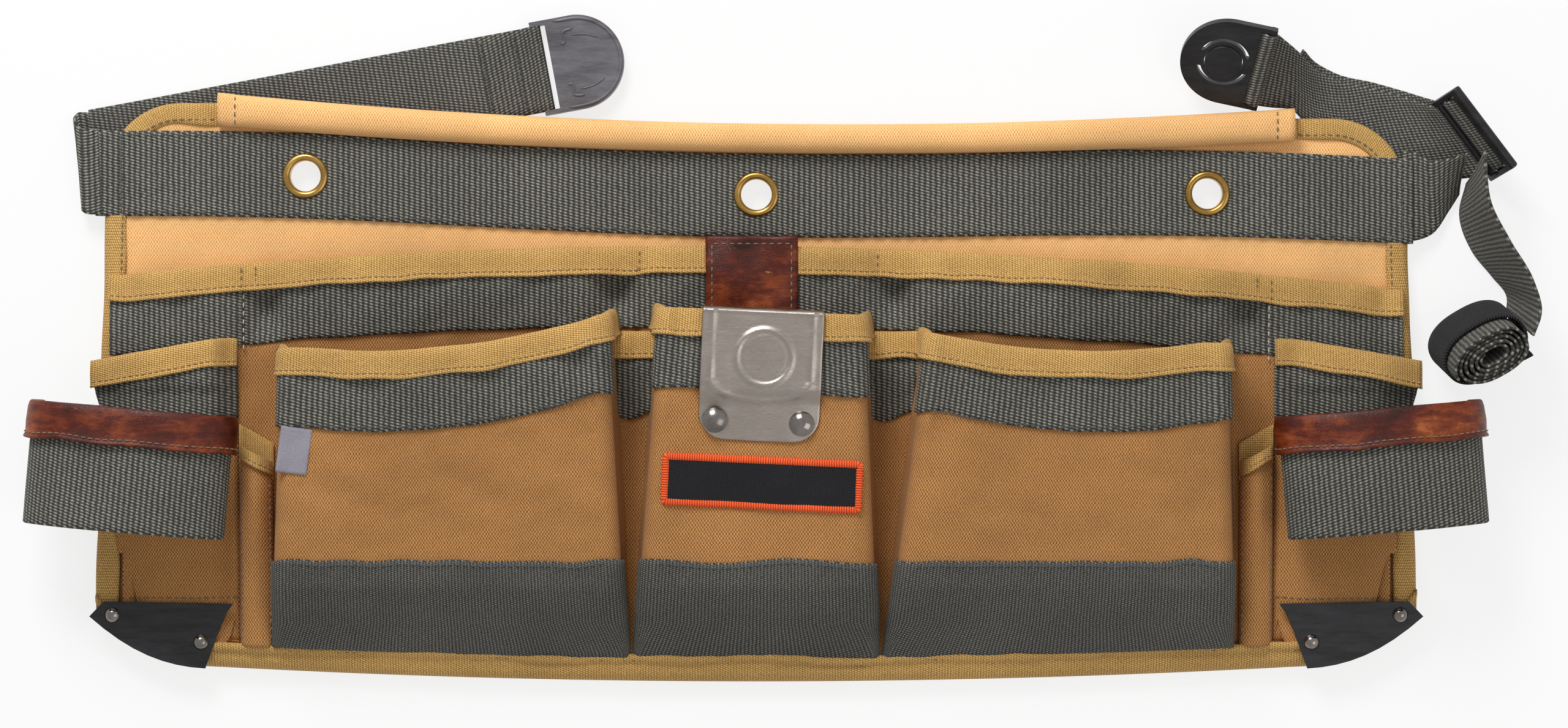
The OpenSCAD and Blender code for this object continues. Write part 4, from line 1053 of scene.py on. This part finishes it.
# ---- Side pockets, channels and pencil slots ----
def flat_pocket(name, xs, z, low, band, tape, seed, nodes, shape=lambda front: front):
    """Canvas, webbing band and folded mouth tape over z(x, y); nodes are what the three replace."""
    front = shape(points_grid(xs, low, lambda x: tape.top(x) - UNDER_TAPE, 60, z))
    sheet(name + "_canvas", front, CLOTH_T, "canvas", replaces=nodes[0])
    band_z = lambda x, y: z(x, y) + BAND_LIFT
    front = shape(points_grid(xs, band.bottom, lambda x: band.top(x) + BAND_HIDDEN, 14, band_z))
    sheet(name + "_band", front, WEB_T, "webbing", replaces=nodes[1])
    ribs = surface_ribs(xs, tape.top, lambda x, y: z(x, y) + TAPE_LIFT)
    for point, _, _ in ribs:
        point[:] = shape(point[None, None, :].copy())[0, 0]
    seam = fold_over(name + "_tape", ribs, TAPE_W, FOLDED_T, "tape", nodes[2], seed)
    stitches("thread_tan", seam, **MOUTH_STITCH)


def make_side_pocket(side):
    name = side_name(side) + "_side_pocket"
    body = Layer(name)
    band = Layer("side_bands", side)
    tape = Layer("side_bindings_mouth", side)
    inner, outer = sorted(body.lo[0:1].tolist() + body.hi[0:1].tolist(), key=abs)
    seed = 200 + 40 * side

    def spread(front):
        """The mouth leans out over the apron's edge."""
        t = np.clip((front[:, :, 0] - inner) / (outer - inner), 0, 1)
        front[:, :, 0] += side * t**2 * (11 * smooth_step((front[:, :, 1] - 95) / 50) - 2)
        return front

    def z(x, y):
        t = np.clip((x - inner) / (outer - inner), 0, 1)
        floor = upper_z(inner, y) + 1.0
        full = smooth_step(t / 0.2) * (1 - 0.5 * smooth_step((t - 0.7) / 0.3))
        puff = ripple(x, y, 60, seed) * 1.3 + 0.4 * ripple(x, y, 22, seed + 1)
        return floor + (body.front(y) - floor) * full + puff * full - 0.3

    xs = steps(body.lo[0], body.hi[0], 1.9)
    inside = abs(outer) - 2.4
    low = lambda x: body.bottom(np.clip(x, -inside, inside))
    nodes = [[name], shared(side, "side_bands"), shared(side, "side_bindings_mouth")]
    flat_pocket(name, xs, z, low, band, tape, seed, nodes, spread)
    stitches("thread_dark", on_surface(xs, band.bottom(xs) + 1.6, z, BAND_LIFT + 0.2))
    hem_y = 36.5 + 0.6 * ripple(xs, xs * 0, 30, seed + 3)
    stitches("thread_brown", on_surface(xs, hem_y, z, 0.15))


def make_channels():
    for side in (-1, 1):
        body = Layer("channels", side)
        band, tape = Layer("channel_bands", side), Layer("channel_bindings", side)
        z = lambda x, y: upper_z(x, y) + CLOTH_T + 0.5 + 0.4 * ripple(x, y, 25, 70 + side)
        xs = steps(body.lo[0] - 1.5, body.hi[0] + 1.5, 1.6)
        nodes = [shared(side, node) for node in ("channels", "channel_bands", "channel_bindings")]
        flat_pocket(side_name(side) + "_channel", xs, z, lambda x: hem.top(x) - 1.5, band, tape, 80 + side,
                    nodes)
        seam_x = float(SEAMS[3] if side > 0 else SEAMS[2])
        ys = steps(float(tape.top(seam_x)) - 1, float(hem.top(seam_x)) + 2, 5)
        cover = np.where(ys > tape.bottom(seam_x), 2.6, np.where(ys > band.bottom(seam_x), 1.6, 0.15))
        stitches("thread_tan", on_surface(seam_x, ys, z, cover))


def make_pencil_slots():
    """Narrow sleeves whose mouths are bound with tape."""
    for side in (-1, 1):
        body, tape = Layer("pencil_slots", side), Layer("pencil_bindings", side)
        name = side_name(side) + "_pencil_slot"
        x0, x1 = body.lo[0], body.hi[0]
        depth = float(body.front(90.0)) - float(upper.front(90.0))

        def z(x, y):
            t = np.clip((x - x0) / (x1 - x0), 0, 1)
            arch = np.sin(math.pi * t) ** 0.45
            rise = depth * arch * (0.55 + 0.45 * smooth_step((y - 40) / 45))
            return upper_z(x, y) + 0.9 + rise + 0.25 * ripple(x, y, 24, 90 + side)

        xs = np.linspace(x0, x1, 16)
        inward = lambda x: np.clip((x - x0 if side < 0 else x1 - x) / (x1 - x0), 0, 1)
        lip = lambda x: tape.hi[1] - 11.5 - 8.0 * inward(x)
        front = points_grid(xs, lambda x: hem.top(x) - 1.5, lambda x: lip(x) - 2.0, 70, z)
        sheet(name + "_canvas", front, CLOTH_T, "canvas", replaces=shared(side, "pencil_slots"))
        ribs = surface_ribs(xs, lip, lambda x, y: z(x, y) + 0.3)
        seam = fold_over(name + "_lip", ribs, 6.5, CLOTH_T, "tape", shared(side, "pencil_bindings"),
                         seed=95 + side)
        stitches("thread_tan", seam, step=2.6, length=2.0)
        back_z = lambda x, y: upper_z(x, y) + 2.0
        ribs = surface_ribs(xs, lambda x: tape.hi[1] - 2.5 - 8.5 * inward(x), back_z)
        fold_over(name + "_back_lip", ribs, 17.0, 0.8, "tape", seed=97 + side)
        for x in (x0 + 1.2, x1 - 1.2):
            ys = steps(float(hem.top(x)) + 1, float(lip(x)) - 10, 6)
            stitches("thread_brown", on_surface(x, ys, z, 0.15))


# ---- Hammer loops ----
loop_lo, loop_hi = box("right_hammer_loop")
SEAM_LOOP_X = float(SEAMS[-2]) + 5.0
LOOP_Y = (loop_lo[1] + loop_hi[1]) / 2 - LOOP_HALF * math.sin(math.radians(LOOP_ANGLE))
LOOP_Z = loop_hi[2] - LOOP_RISE


def loop_point(side, x, across, up):
    """From a loop's own plane to the frame: x out from the seam, across towards -Y, up."""
    c, s = math.cos(math.radians(LOOP_ANGLE)), math.sin(math.radians(LOOP_ANGLE))
    return np.array([side * (SEAM_LOOP_X + x * c + across * s), LOOP_Y + x * s - across * c, LOOP_Z + up])


def make_hammer_loop(side):
    name = side_name(side) + "_hammer_loop"
    a, b = LOOP_HALF - 1.0, LOOP_RISE - 1.0
    turn = np.radians(np.linspace(-15, 244, 110))
    path = [(LOOP_HALF - a * math.cos(q), b * math.sin(q)) for q in turn] + [(64.5, -18.0), (62.5, -18.1)]
    acrosses = np.linspace(-LOOP_W / 2, LOOP_W / 2, 26)
    lengths = arc_length(np.array(path))
    grid = []
    for k, (x, up) in enumerate(path):
        droop = 0.8 * math.sin(math.pi * k / len(turn)) if k < len(turn) else 0
        grid.append([loop_point(side, x, v, up + droop * float(ripple(lengths[k], v, 60, 300 + side)))
                     for v in acrosses])
    sheet(name + "_webbing", np.array(grid), 1.7, "webbing", pairs(lengths, acrosses), replaces=[name],
          flip=side > 0)
    ribs = []
    a, b = LOOP_HALF + 0.3, LOOP_RISE + 0.3
    upper_edge = -LOOP_W / 2 - 1.2
    for q in np.radians(np.linspace(3, 202, 120)):
        edge = loop_point(side, LOOP_HALF - a * math.cos(q), upper_edge, b * math.sin(q))
        lower = loop_point(side, LOOP_HALF - a * math.cos(q), LOOP_W / 2, b * math.sin(q))
        down = (lower - edge) / np.linalg.norm(lower - edge)
        out = loop_point(side, LOOP_HALF - (a + 1) * math.cos(q), upper_edge, (b + 1) * math.sin(q)) - edge
        out -= down * np.dot(out, down)
        ribs.append((edge, down, out / np.linalg.norm(out)))
    if side > 0:
        ribs = ribs[::-1]
    leather = side_name(side) + "_loop_leather"
    seam = fold_over(leather + "_cap", ribs, 17.0, 2.4, "leather", [leather], seed=310 + side)
    normals = [r[2] for r in ribs]
    stitches("thread_brown", seam + np.array(normals) * 0.1, normal=normals)


# ---- Straps ----
def ribbon(name, edge_a, edge_b, thick, material, seed, replaces=(), cup=0.6):
    """Webbing between two edges, cupped across its width."""
    a, b = spline(edge_a, 90), spline(edge_b, 90)
    v = np.linspace(0, 1, 14)[None, :, None]
    grid = a[:, None, :] * (1 - v) + b[:, None, :] * v
    normal = surface_normals(grid)
    s = arc_length((a + b) / 2)
    curl = cup * (1 - (2 * v - 1) ** 2) + 0.3 * ripple(s[:, None, None], v * 30, 40, seed)
    grid = grid + normal * curl
    width = np.linalg.norm(a - b, axis=1)
    uv = np.stack([np.repeat(s[:, None], 14, 1), width[:, None] * v[0, :, 0][None, :]], 2)
    sheet(name, grid, thick, material, uv, replaces=replaces, flip=True)


def place_frame(origin, yaw, tilt_x=0.0, tilt_y=0.0):
    """4x4 matrix: turn about X, then Y, then Z, then move."""
    cx, sx = math.cos(math.radians(tilt_x)), math.sin(math.radians(tilt_x))
    cy, sy = math.cos(math.radians(tilt_y)), math.sin(math.radians(tilt_y))
    cz, sz = math.cos(math.radians(yaw)), math.sin(math.radians(yaw))
    rx = np.array([[1, 0, 0], [0, cx, -sx], [0, sx, cx]])
    ry = np.array([[cy, 0, sy], [0, 1, 0], [-sy, 0, cy]])
    rz = np.array([[cz, -sz, 0], [sz, cz, 0], [0, 0, 1]])
    matrix = np.eye(4)
    matrix[:3, :3] = rz @ ry @ rx
    matrix[:3, 3] = origin
    return matrix


def moved(matrix, points):
    points = np.asarray(points, float)
    return points @ matrix[:3, :3].T + matrix[:3, 3]


def strip(name, path, half, thick, matrix, body=ROOT, replaces=(), flip=False):
    """Strap webbing that follows a path in its frame's XZ plane, to half its width on either side."""
    ys = np.linspace(-half, half, 14)
    grid = np.empty((len(path), 14, 3))
    grid[:, :, 0] = path[:, :1]
    grid[:, :, 1] = ys
    grid[:, :, 2] = path[:, 1:2]
    uv = pairs(arc_length(path), ys)
    sheet(name, moved(matrix, grid), thick, "strap", uv, body, replaces, flip=flip)


def fine_path(points, pitch):
    points = np.array(points)
    return resample(points, max(4, int(arc_length(points)[-1] / pitch)))


def make_left_strap():
    """The strap laid out from its fold to the buckle's bar, and the fold that joins it to the waist."""
    lay = box("left_strap")[0][2]
    pin, axis = joint_at("left_buckle_pivot")
    fold = joint_at("left_strap_swing")[0]
    rise = yaw_of(axis)
    away = pin[:2] - fold[:2]
    turn = math.radians(rise)
    length = away[0] * math.cos(turn) + away[1] * math.sin(turn)
    origin = [pin[0] - length * math.cos(turn), pin[1] - length * math.sin(turn), 0.0]
    matrix = place_frame(origin, rise)
    eye = pin[2] - lay - WEB_T / 2
    mid = lay + WEB_T / 2
    around = [(length + eye * math.sin(q), pin[2] - eye * math.cos(q)) for q in np.linspace(0, 3.5, 18)]
    back = [(length - 7, mid + WEB_T + 0.5), (length - 14, mid + WEB_T + 0.3),
            (length - 27, mid + WEB_T + 0.25)]
    flat = [(5.0, mid + 0.9), (14.0, mid + 0.3), (26.0, mid), (length - 5, mid)]
    path = fine_path(flat + around + back, 1.4)
    strip("left_strap_webbing", path, 19.2, WEB_T, matrix, "left_strap", ["left_strap"], flip=True)
    for x in (length - 10, length - 25.5):
        ys = np.linspace(-17.5, 17.5, 20)
        row = np.stack([ys * 0 + x, ys, ys * 0 + mid + WEB_T * 1.5 + 0.5], 1)
        stitches("thread_dark", moved(matrix, row), body="left_strap", step=2.5, length=1.9)
    for y in (-17.3, 17.3):
        xs = steps(30, length - 28, 8)
        row = np.stack([xs, xs * 0 + y, xs * 0 + lay + WEB_T + 0.1], 1)
        stitches("thread_dark", moved(matrix, row), body="left_strap", step=3.6)
    wrap = [(fold[0] + 6.0, WEB_TOP - 0.6), (fold[0] + 2, WEB_TOP - 0.5)]
    r = (WEB_TOP - 0.7 - mid) / 2
    wrap += [(fold[0] - r * math.sin(q), mid + r + r * math.cos(q)) for q in np.linspace(0, math.pi, 22)]
    wrap += [(fold[0] + 3, mid + 0.1), (fold[0] + 7.5, mid + 0.9)]
    path = fine_path(wrap, 0.8)
    share = np.clip((WEB_TOP - path[:, 1]) / (WEB_TOP - mid), 0, 1)
    v = np.linspace(-19, 19, 16)
    grid = np.empty((len(path), 16, 3))
    for k, (x, z) in enumerate(path):
        tilt = math.radians(1.0 + (rise - 1.0) * share[k])
        mid_y = float(waist.top(-300.0) - 19) + 9.2 * share[k]
        grid[k, :, 0] = x - v * math.sin(tilt)
        grid[k, :, 1] = mid_y + v * math.cos(tilt)
        grid[k, :, 2] = z
    uv = pairs(arc_length(path), v)
    bend = sheet("left_fold_webbing", grid, WEB_T, "webbing", uv, None, ["left_fold"])
    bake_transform(bend)


# Both edges of each piece of webbing on the right, as points chosen from its start to its end.
LEAD_A = [(295.0, 239.6, 6.9), (300, 239, 7.0), (307, 234.9, 8.5), (315, 235.9, 13), (322, 237.9, 19)]
LEAD_B = [(295.0, 199.5, 6.9), (300, 199.6, 6.6), (309, 202.9, 4.5), (316, 212.4, 2.4), (321, 220.4, 2.4)]
STRAP_A = [(235.4, 291.1, 27.9), (248, 282.4, 17), (257, 276.2, 5.2), (265, 272.4, 2.8), (282, 268.4, 2.7),
           (296, 264.4, 2.8), (304, 261.4, 5.0), (309.8, 259, 8.7)]
STRAP_B = [(229, 260.7, 6.1), (236, 259.9, 3.9), (244, 259, 2.7), (252, 250.4, 2.7), (271, 233.4, 2.7),
           (298, 228.4, 2.8), (320, 227.8, 4.0), (332.6, 228.6, 8.7)]
TAIL_A = [(327, 238.4, 34), (330, 214.4, 34.5), (338, 198.4, 35), (349, 179.4, 35.5), (352, 166.4, 36),
          (348.4, 156, 37)]
TAIL_B = [(324, 225.4, 2.7), (321, 212.4, 1.8), (327, 194.4, 1.7), (336, 182.4, 1.7), (342.5, 173.4, 1.7),
          (342.2, 167, 2.4)]


def disc_outline(length, half, count=40):
    """Outline of a buckle half, from one corner by its webbing slot round to the other."""
    straight = [(x, -half) for x in np.linspace(9.0, length - half, 5)]
    arc = [(length - half + half * math.sin(q), -half * math.cos(q)) for q in np.linspace(0, math.pi, count)]
    return straight + arc[1:-1] + [(x, half) for x in np.linspace(length - half, 9.0, 5)]


def make_buckle_trim():
    """Raised rim and the four ribs moulded on the left buckle half."""
    pin, axis = joint_at("left_buckle_pivot")
    matrix = place_frame((pin[0], pin[1], box("left_buckle")[1][2]), yaw_of(axis))
    path = np.array([(x, y, 0.0) for x, y in disc_outline(36.6, 20.0)])
    bead("left_buckle_rim", moved(matrix, path), 0.75)
    for y, end in ((-1, "a"), (1, "b")):
        ell = [(10.5, y * 9.5, 0), (12.5, y * 9.5, 0), (12.8, y * 14.5, 0), (17.5, y * 15.5, 0)]
        bead(f"left_buckle_rib_{end}", moved(matrix, spline(ell, 24)), 0.6)
    for k, y in enumerate((-12.5, 12.5)):
        path = spline([(16, y, 0.1), (22, y * 0.95, 0.1), (28, y * 0.75, 0.1)], 12)
        bead(f"left_buckle_line_{k}", moved(matrix, path), 0.35)


def bead(name, path, radius):
    """Round bead moulded along a path on the left buckle half, rounded off at both ends."""
    along = np.gradient(path, axis=0)
    along /= np.linalg.norm(along, axis=1, keepdims=True)
    side = np.cross(along, UP)
    side /= np.linalg.norm(side, axis=1, keepdims=True)
    up = np.cross(side, along)
    from_start = np.arange(len(path))
    ends = np.minimum(1, 0.3 + 0.5 * np.minimum(from_start, from_start[::-1]))
    qs = np.linspace(0, 2 * math.pi, 13)[:-1]
    rings = (path[:, None, :] + radius * ends[:, None, None]
             * (side[:, None, :] * np.cos(qs)[None, :, None] + up[:, None, :] * np.sin(qs)[None, :, None]))
    tube(name, rings, np.zeros(rings.shape[:2] + (2,)), "grey_plastic", body="left_buckle")


def make_latch_eye():
    """Webbing wrapped round the latch plate's bar."""
    pin, axis = joint_at("latch_plate_pivot")
    out = np.array([-math.cos(math.radians(12)), math.sin(math.radians(12)), 0.0])
    out -= axis * np.dot(out, axis)
    out /= np.linalg.norm(out)
    third = np.cross(out, axis)
    grid, uv = [], []
    across = np.linspace(-18.6, 18.6, 12)
    for q in np.linspace(math.radians(-128), math.radians(128), 26):
        reach = 3.1 + 2.1 * max(math.cos(q), 0)
        grid.append([pin + axis * v + out * reach * math.cos(q) + third * 3.1 * math.sin(q) for v in across])
        uv.append([(3.1 * q, v) for v in across])
    sheet("right_strap_eye", np.array(grid), 1.2, "strap", np.array(uv), flip=True)


def make_right_strap():
    ribbon("right_lead_webbing", LEAD_A, LEAD_B, WEB_T, "webbing", 120, ["right_lead"], cup=0.2)
    ribbon("right_strap_front", STRAP_A, STRAP_B, WEB_T, "strap", 121, ["right_strap"])
    behind_a = [np.array(p) + (0.6, 2.6, -1.2) for p in STRAP_A[1:]]
    behind_b = [np.array((x, y + 1.5, max(1.2, z - 1.6))) for x, y, z in STRAP_B[1:]]
    ribbon("right_strap_back", behind_a, behind_b, WEB_T - 0.3, "strap", 122)
    matrix = place_frame((326, 247.4, 16), 37, 0, -68)
    over = [(-4.1, -5.5), (-4.1, -1.0), (-3.6, 1.6), (-1.6, 2.9), (1.6, 2.9), (3.6, 1.6), (4.1, -1.0),
            (4.1, -5.5)]
    path = spline([(x, z, 0) for x, z in over], 24)[:, :2]
    strip("adjuster_webbing", path, 18.6, 1.2, matrix)
    ribbon("strap_tail_webbing", TAIL_A, TAIL_B, WEB_T, "strap", 123, ["strap_tail"])


def stadium(q, half_x, half_y):
    """Point on a flattened round of the given half sizes."""
    c, s = math.cos(q), math.sin(q)
    return np.array([half_x * math.copysign(abs(c) ** 0.8, c), half_y * math.copysign(abs(s) ** 0.9, s)])


def wound(path, zs):
    """Grid that follows a path in its frame's XY plane at each of the heights zs."""
    grid = np.empty((len(path), np.shape(zs)[-1], 3))
    grid[:, :, :2] = path[:, None, :]
    grid[:, :, 2] = zs
    return grid


def make_tail_roll():
    """Webbing wound up from the middle, and its keeper."""
    matrix = place_frame(sum(box("tail_roll")) / 2, 30, 20)
    turns = 5.2
    path = []
    for q in np.linspace(0, turns * 2 * math.pi, 420):
        layer = q / (2 * math.pi)
        grow = 1 - (turns - layer) / (turns + 0.9)
        wobble = 1 + 0.03 * math.sin(3.1 * q + 1)
        path.append(stadium(q + 2.0, 17.6 * (0.16 + 0.84 * grow) * wobble, 10.6 * (0.08 + 0.92 * grow)))
    path = np.array(path)
    s = arc_length(path)
    zs = np.linspace(-19, 19, 12)
    grid = wound(path, zs + 0.8 * np.sin(s / 37.0)[:, None])
    sheet("tail_roll_webbing", moved(matrix, grid), 1.2, "strap", pairs(s, zs), replaces=["tail_roll"],
          flip=True)
    keeper_band(matrix)


def keeper_band(matrix):
    """Hook-and-loop keeper round the roll, and its flap."""
    qs = np.linspace(0, 2 * math.pi, 72)
    path = np.array([stadium(q, 19.2, 12.2) for q in qs])
    zs = np.linspace(-15, 9, 9)
    uv = pairs(arc_length(path), zs)[:, :, ::-1]
    sheet("tail_keeper_band", moved(matrix, wound(path, zs)), 1.2, "hook_loop", uv,
          replaces=["tail_keeper"], flip=True)
    xs = np.linspace(-2, 17.8, 20)
    path = np.column_stack([xs, -13.3 - 0.8 * smooth_step((xs - 4) / 14)])
    uv = pairs(xs, zs)[:, :, ::-1]
    sheet("keeper_flap_tab", moved(matrix, wound(path, zs)), 1.0, "hook_loop", uv, body="keeper_flap",
          replaces=["keeper_flap"])


# ---- Rigid parts ----
def dress(node, material):
    """Gives a CAD node its surface."""
    mesh = frame["nodes"][node].data
    mesh.materials.clear()
    mesh.materials.append(MATERIALS[material])


def soften(node, width, material, body):
    """Copy of a moulded CAD part with rounded edges."""
    mesh = frame["nodes"][node].data.copy()
    mesh.materials.clear()
    mesh.materials.append(MATERIALS[material])
    shape = bmesh.new()
    shape.from_mesh(mesh)
    bmesh.ops.remove_doubles(shape, verts=shape.verts, dist=1e-6)
    bmesh.ops.dissolve_limit(shape, angle_limit=0.02, verts=shape.verts, edges=shape.edges)
    shape.to_mesh(mesh)
    shape.free()
    obj = bpy.data.objects.new(node + "_moulded", mesh)
    bpy.context.scene.collection.objects.link(obj)
    bevel = obj.modifiers.new("bevel", "BEVEL")
    bevel.width = width * MM
    bevel.segments = 3
    bevel.limit_method = "ANGLE"
    bevel.angle_limit = math.radians(35)
    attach(obj, body)
    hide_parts(node)
    mesh.polygons.foreach_set("use_smooth", [False] * len(mesh.polygons))


def make_clip():
    """Bent steel plate with pressed ribs."""
    lo, hi = box("tape_clip")
    turn = math.radians(CLIP_ANGLE)
    c, s = math.cos(turn), math.sin(turn)
    width = 53.8
    height = ((hi[1] - lo[1]) - width * abs(s)) / c
    centre = np.array([(lo[0] + hi[0]) / 2, (lo[1] + hi[1]) / 2])
    foot = lo[1] + 16
    us = np.linspace(-1, 1, 70)
    vs = np.linspace(0, 1, 80)
    grid = np.empty((len(us), len(vs), 3))
    uv = np.empty((len(us), len(vs), 2))
    for j, v in enumerate(vs):
        drop = v * height
        from_end = max(0.0, 12 - (height - drop))
        half = width / 2 - 12 + math.sqrt(max(0.0, 144 - from_end**2))
        for i, u in enumerate(us):
            p, q = u * half, height / 2 - drop
            x, y = centre[0] + p * c - q * s, centre[1] + p * s + q * c
            z = float(CENTRE.top_z(x, y)) + 1.1 + 3.6 * float(smooth_step((y - foot) / 9))
            ring = math.hypot(p - 1.2, q - (height / 2 - 22.0))
            z += 0.9 * math.exp(-((ring - 12.3) / 1.1) ** 2) + 0.5 * float(smooth_step((11.0 - ring) / 1.5))
            bend = -height / 2 + 27
            rib = abs(p) - 22.5 if q > bend else (math.hypot(p / 22.5, (q - bend) / 9.0) - 1) * 10
            z += 0.75 * math.exp(-((rib / 1.0) ** 2))
            roll = float(smooth_step((q - height / 2 + 3.2) / 3.2))
            z += 1.0 * math.sin(math.pi * roll) - 2.4 * roll**3
            grid[i, j] = (x, y, z)
            uv[i, j] = (p, q)
    sheet("tape_clip_plate", grid, 1.1, "steel", uv, replaces=["tape_clip"], flip=True)


def make_tab():
    """Leather tab sewn over the upper mouth."""
    lo, hi = box("leather_tab")
    z = lambda x, y: upper_z(x, y) + WEB_T + 3.0 + 0.5 * ripple(x, y, 30, 140)
    xs = np.linspace(lo[0] + 0.3, hi[0] - 0.3, 30)
    high = lambda x: x * 0 + hi[1] + 0.3 * ripple(x, x * 0, 20, 141)
    grid = points_grid(xs, lambda x: x * 0 + lo[1], high, 34, z)
    edge = 1 - np.minimum(1, np.minimum(grid[:, :, 0] - lo[0], hi[0] - grid[:, :, 0]) / 2.0)
    grid[:, :, 2] -= 0.7 * edge**2
    sheet("leather_tab_piece", grid, LEATHER_T, "leather", replaces=["leather_tab"])
    xs, ys = (np.linspace(lo[k] + 3, hi[k] - 3, 20) for k in (0, 1))
    for x in (lo[0] + 3, hi[0] - 3):
        stitches("thread_brown", on_surface(x, ys, z, 0.1))
    stitches("thread_brown", on_surface(xs, hi[1] - 3, z, 0.1))


def laid_on(front, matrix, us, vs, lift):
    """Grid of us by vs that lies on a pocket's front, and its own flat coordinates."""
    flat = pairs(us, vs)
    grid = moved(matrix, np.dstack([flat, flat[:, :, 0] * 0]))
    grid[:, :, 2] = front(grid[:, :, 0], grid[:, :, 1]) + lift
    return grid, flat


def make_patch():
    """Woven patch with a bare field, and its merrowed border."""
    front = CENTRE.top_z
    lo, hi = box("patch_border")
    turn = math.radians(CLIP_ANGLE)
    c, s = math.cos(turn), abs(math.sin(turn))
    wide, tall = hi[0] - lo[0], hi[1] - lo[1]
    w = (wide * c - tall * s) / (c * c - s * s)
    h = (tall * c - wide * s) / (c * c - s * s)
    centre = (lo + hi) / 2
    matrix = place_frame((centre[0], centre[1], 0), CLIP_ANGLE)
    us, vs = np.linspace(-w / 2 + 1.2, w / 2 - 1.2, 50), np.linspace(-h / 2 + 1.2, h / 2 - 1.2, 24)
    grid, uv = laid_on(front, matrix, us, vs, 1.1)
    sheet("patch_field_cloth", grid, 1.1, "patch_field", uv, replaces=["patch"])
    path = []
    r = 2.2
    x, y = w / 2 - r, h / 2 - r
    for x, y, start in ((x, y, 0), (-x, y, 90), (-x, -y, 180), (x, -y, 270)):
        for a in np.radians(np.linspace(start, start + 90, 6)):
            path.append((x + (r - 1.3) * math.cos(a), y + (r - 1.3) * math.sin(a), 0.0))
    path.append(path[0])
    path = resample(np.array(path), 420)[:-1]
    along = np.roll(path, -1, 0) - np.roll(path, 1, 0)
    along /= np.linalg.norm(along, axis=1, keepdims=True)
    side = np.cross(along, UP)
    base = moved(matrix, path)
    base[:, 2] = front(base[:, 0], base[:, 1]) + 0.5
    side = side @ matrix[:3, :3].T
    length = arc_length(path)
    rings, uvs = [], []
    for k in range(len(path)):
        twist = 0.16 * math.sin(2 * math.pi * length[k] / 1.1)
        ring = []
        for q in np.linspace(0, 2 * math.pi, 11)[:-1]:
            ring.append(base[k] + side[k] * math.cos(q) * (1.7 + twist) + UP * math.sin(q) * (1.15 + twist))
        rings.append(ring)
        uvs.append([(length[k], q * 1.2) for q in range(10)])
    rings.append(rings[0])
    uvs.append([(length[-1] + 0.6, q * 1.2) for q in range(10)])
    tube("patch_merrow", np.array(rings), np.array(uvs), "patch_border", replaces=["patch_border"])


def make_side_tag():
    centre = sum(box("side_tag")) / 2
    matrix = place_frame((centre[0], centre[1], 0), -8 + 180)
    us, vs = np.linspace(-6.6, 6.6, 12), np.linspace(-10.2, 10.2, 18)
    lift = 0.7 + 0.9 * ((us[:, None] + 6.6) / 13.2) ** 2 + 0.2 * np.sin(vs[None, :] / 3.1)
    grid, uv = laid_on(LEFT.top_z, matrix, us, vs, lift)
    sheet("side_tag_cloth", grid, 0.9, "tag", uv, replaces=["side_tag"])


LEFT = Pocket("left_main", 400)
RIGHT = Pocket("right_main", 430)
CENTRE = Pocket("centre", 460)
for pocket in (LEFT, RIGHT, CENTRE):
    pocket.build()
for hand in (-1, 1):
    make_side_pocket(hand)
    make_hammer_loop(hand)
make_channels()
make_pencil_slots()
make_left_strap()
make_right_strap()
make_buckle_trim()
make_latch_eye()
make_tail_roll()
make_clip()
make_tab()
make_patch()
make_side_tag()
for rigid, shine in (("grommets", "brass"), ("grommet_washers", "brass"), ("guard_rivets", "nickel"),
                     ("clip_rivets", "nickel")):
    dress(rigid, shine)
soften("corner_guards", 0.8, "black_plastic", ROOT)
soften("adjuster", 1.3, "black_plastic", ROOT)
soften("left_buckle", 0.8, "grey_plastic", "left_buckle")
soften("latch_plate", 0.8, "black_plastic", "latch_plate")
soften("latch_button", 0.5, "black_plastic", "latch_button")

build_threads()
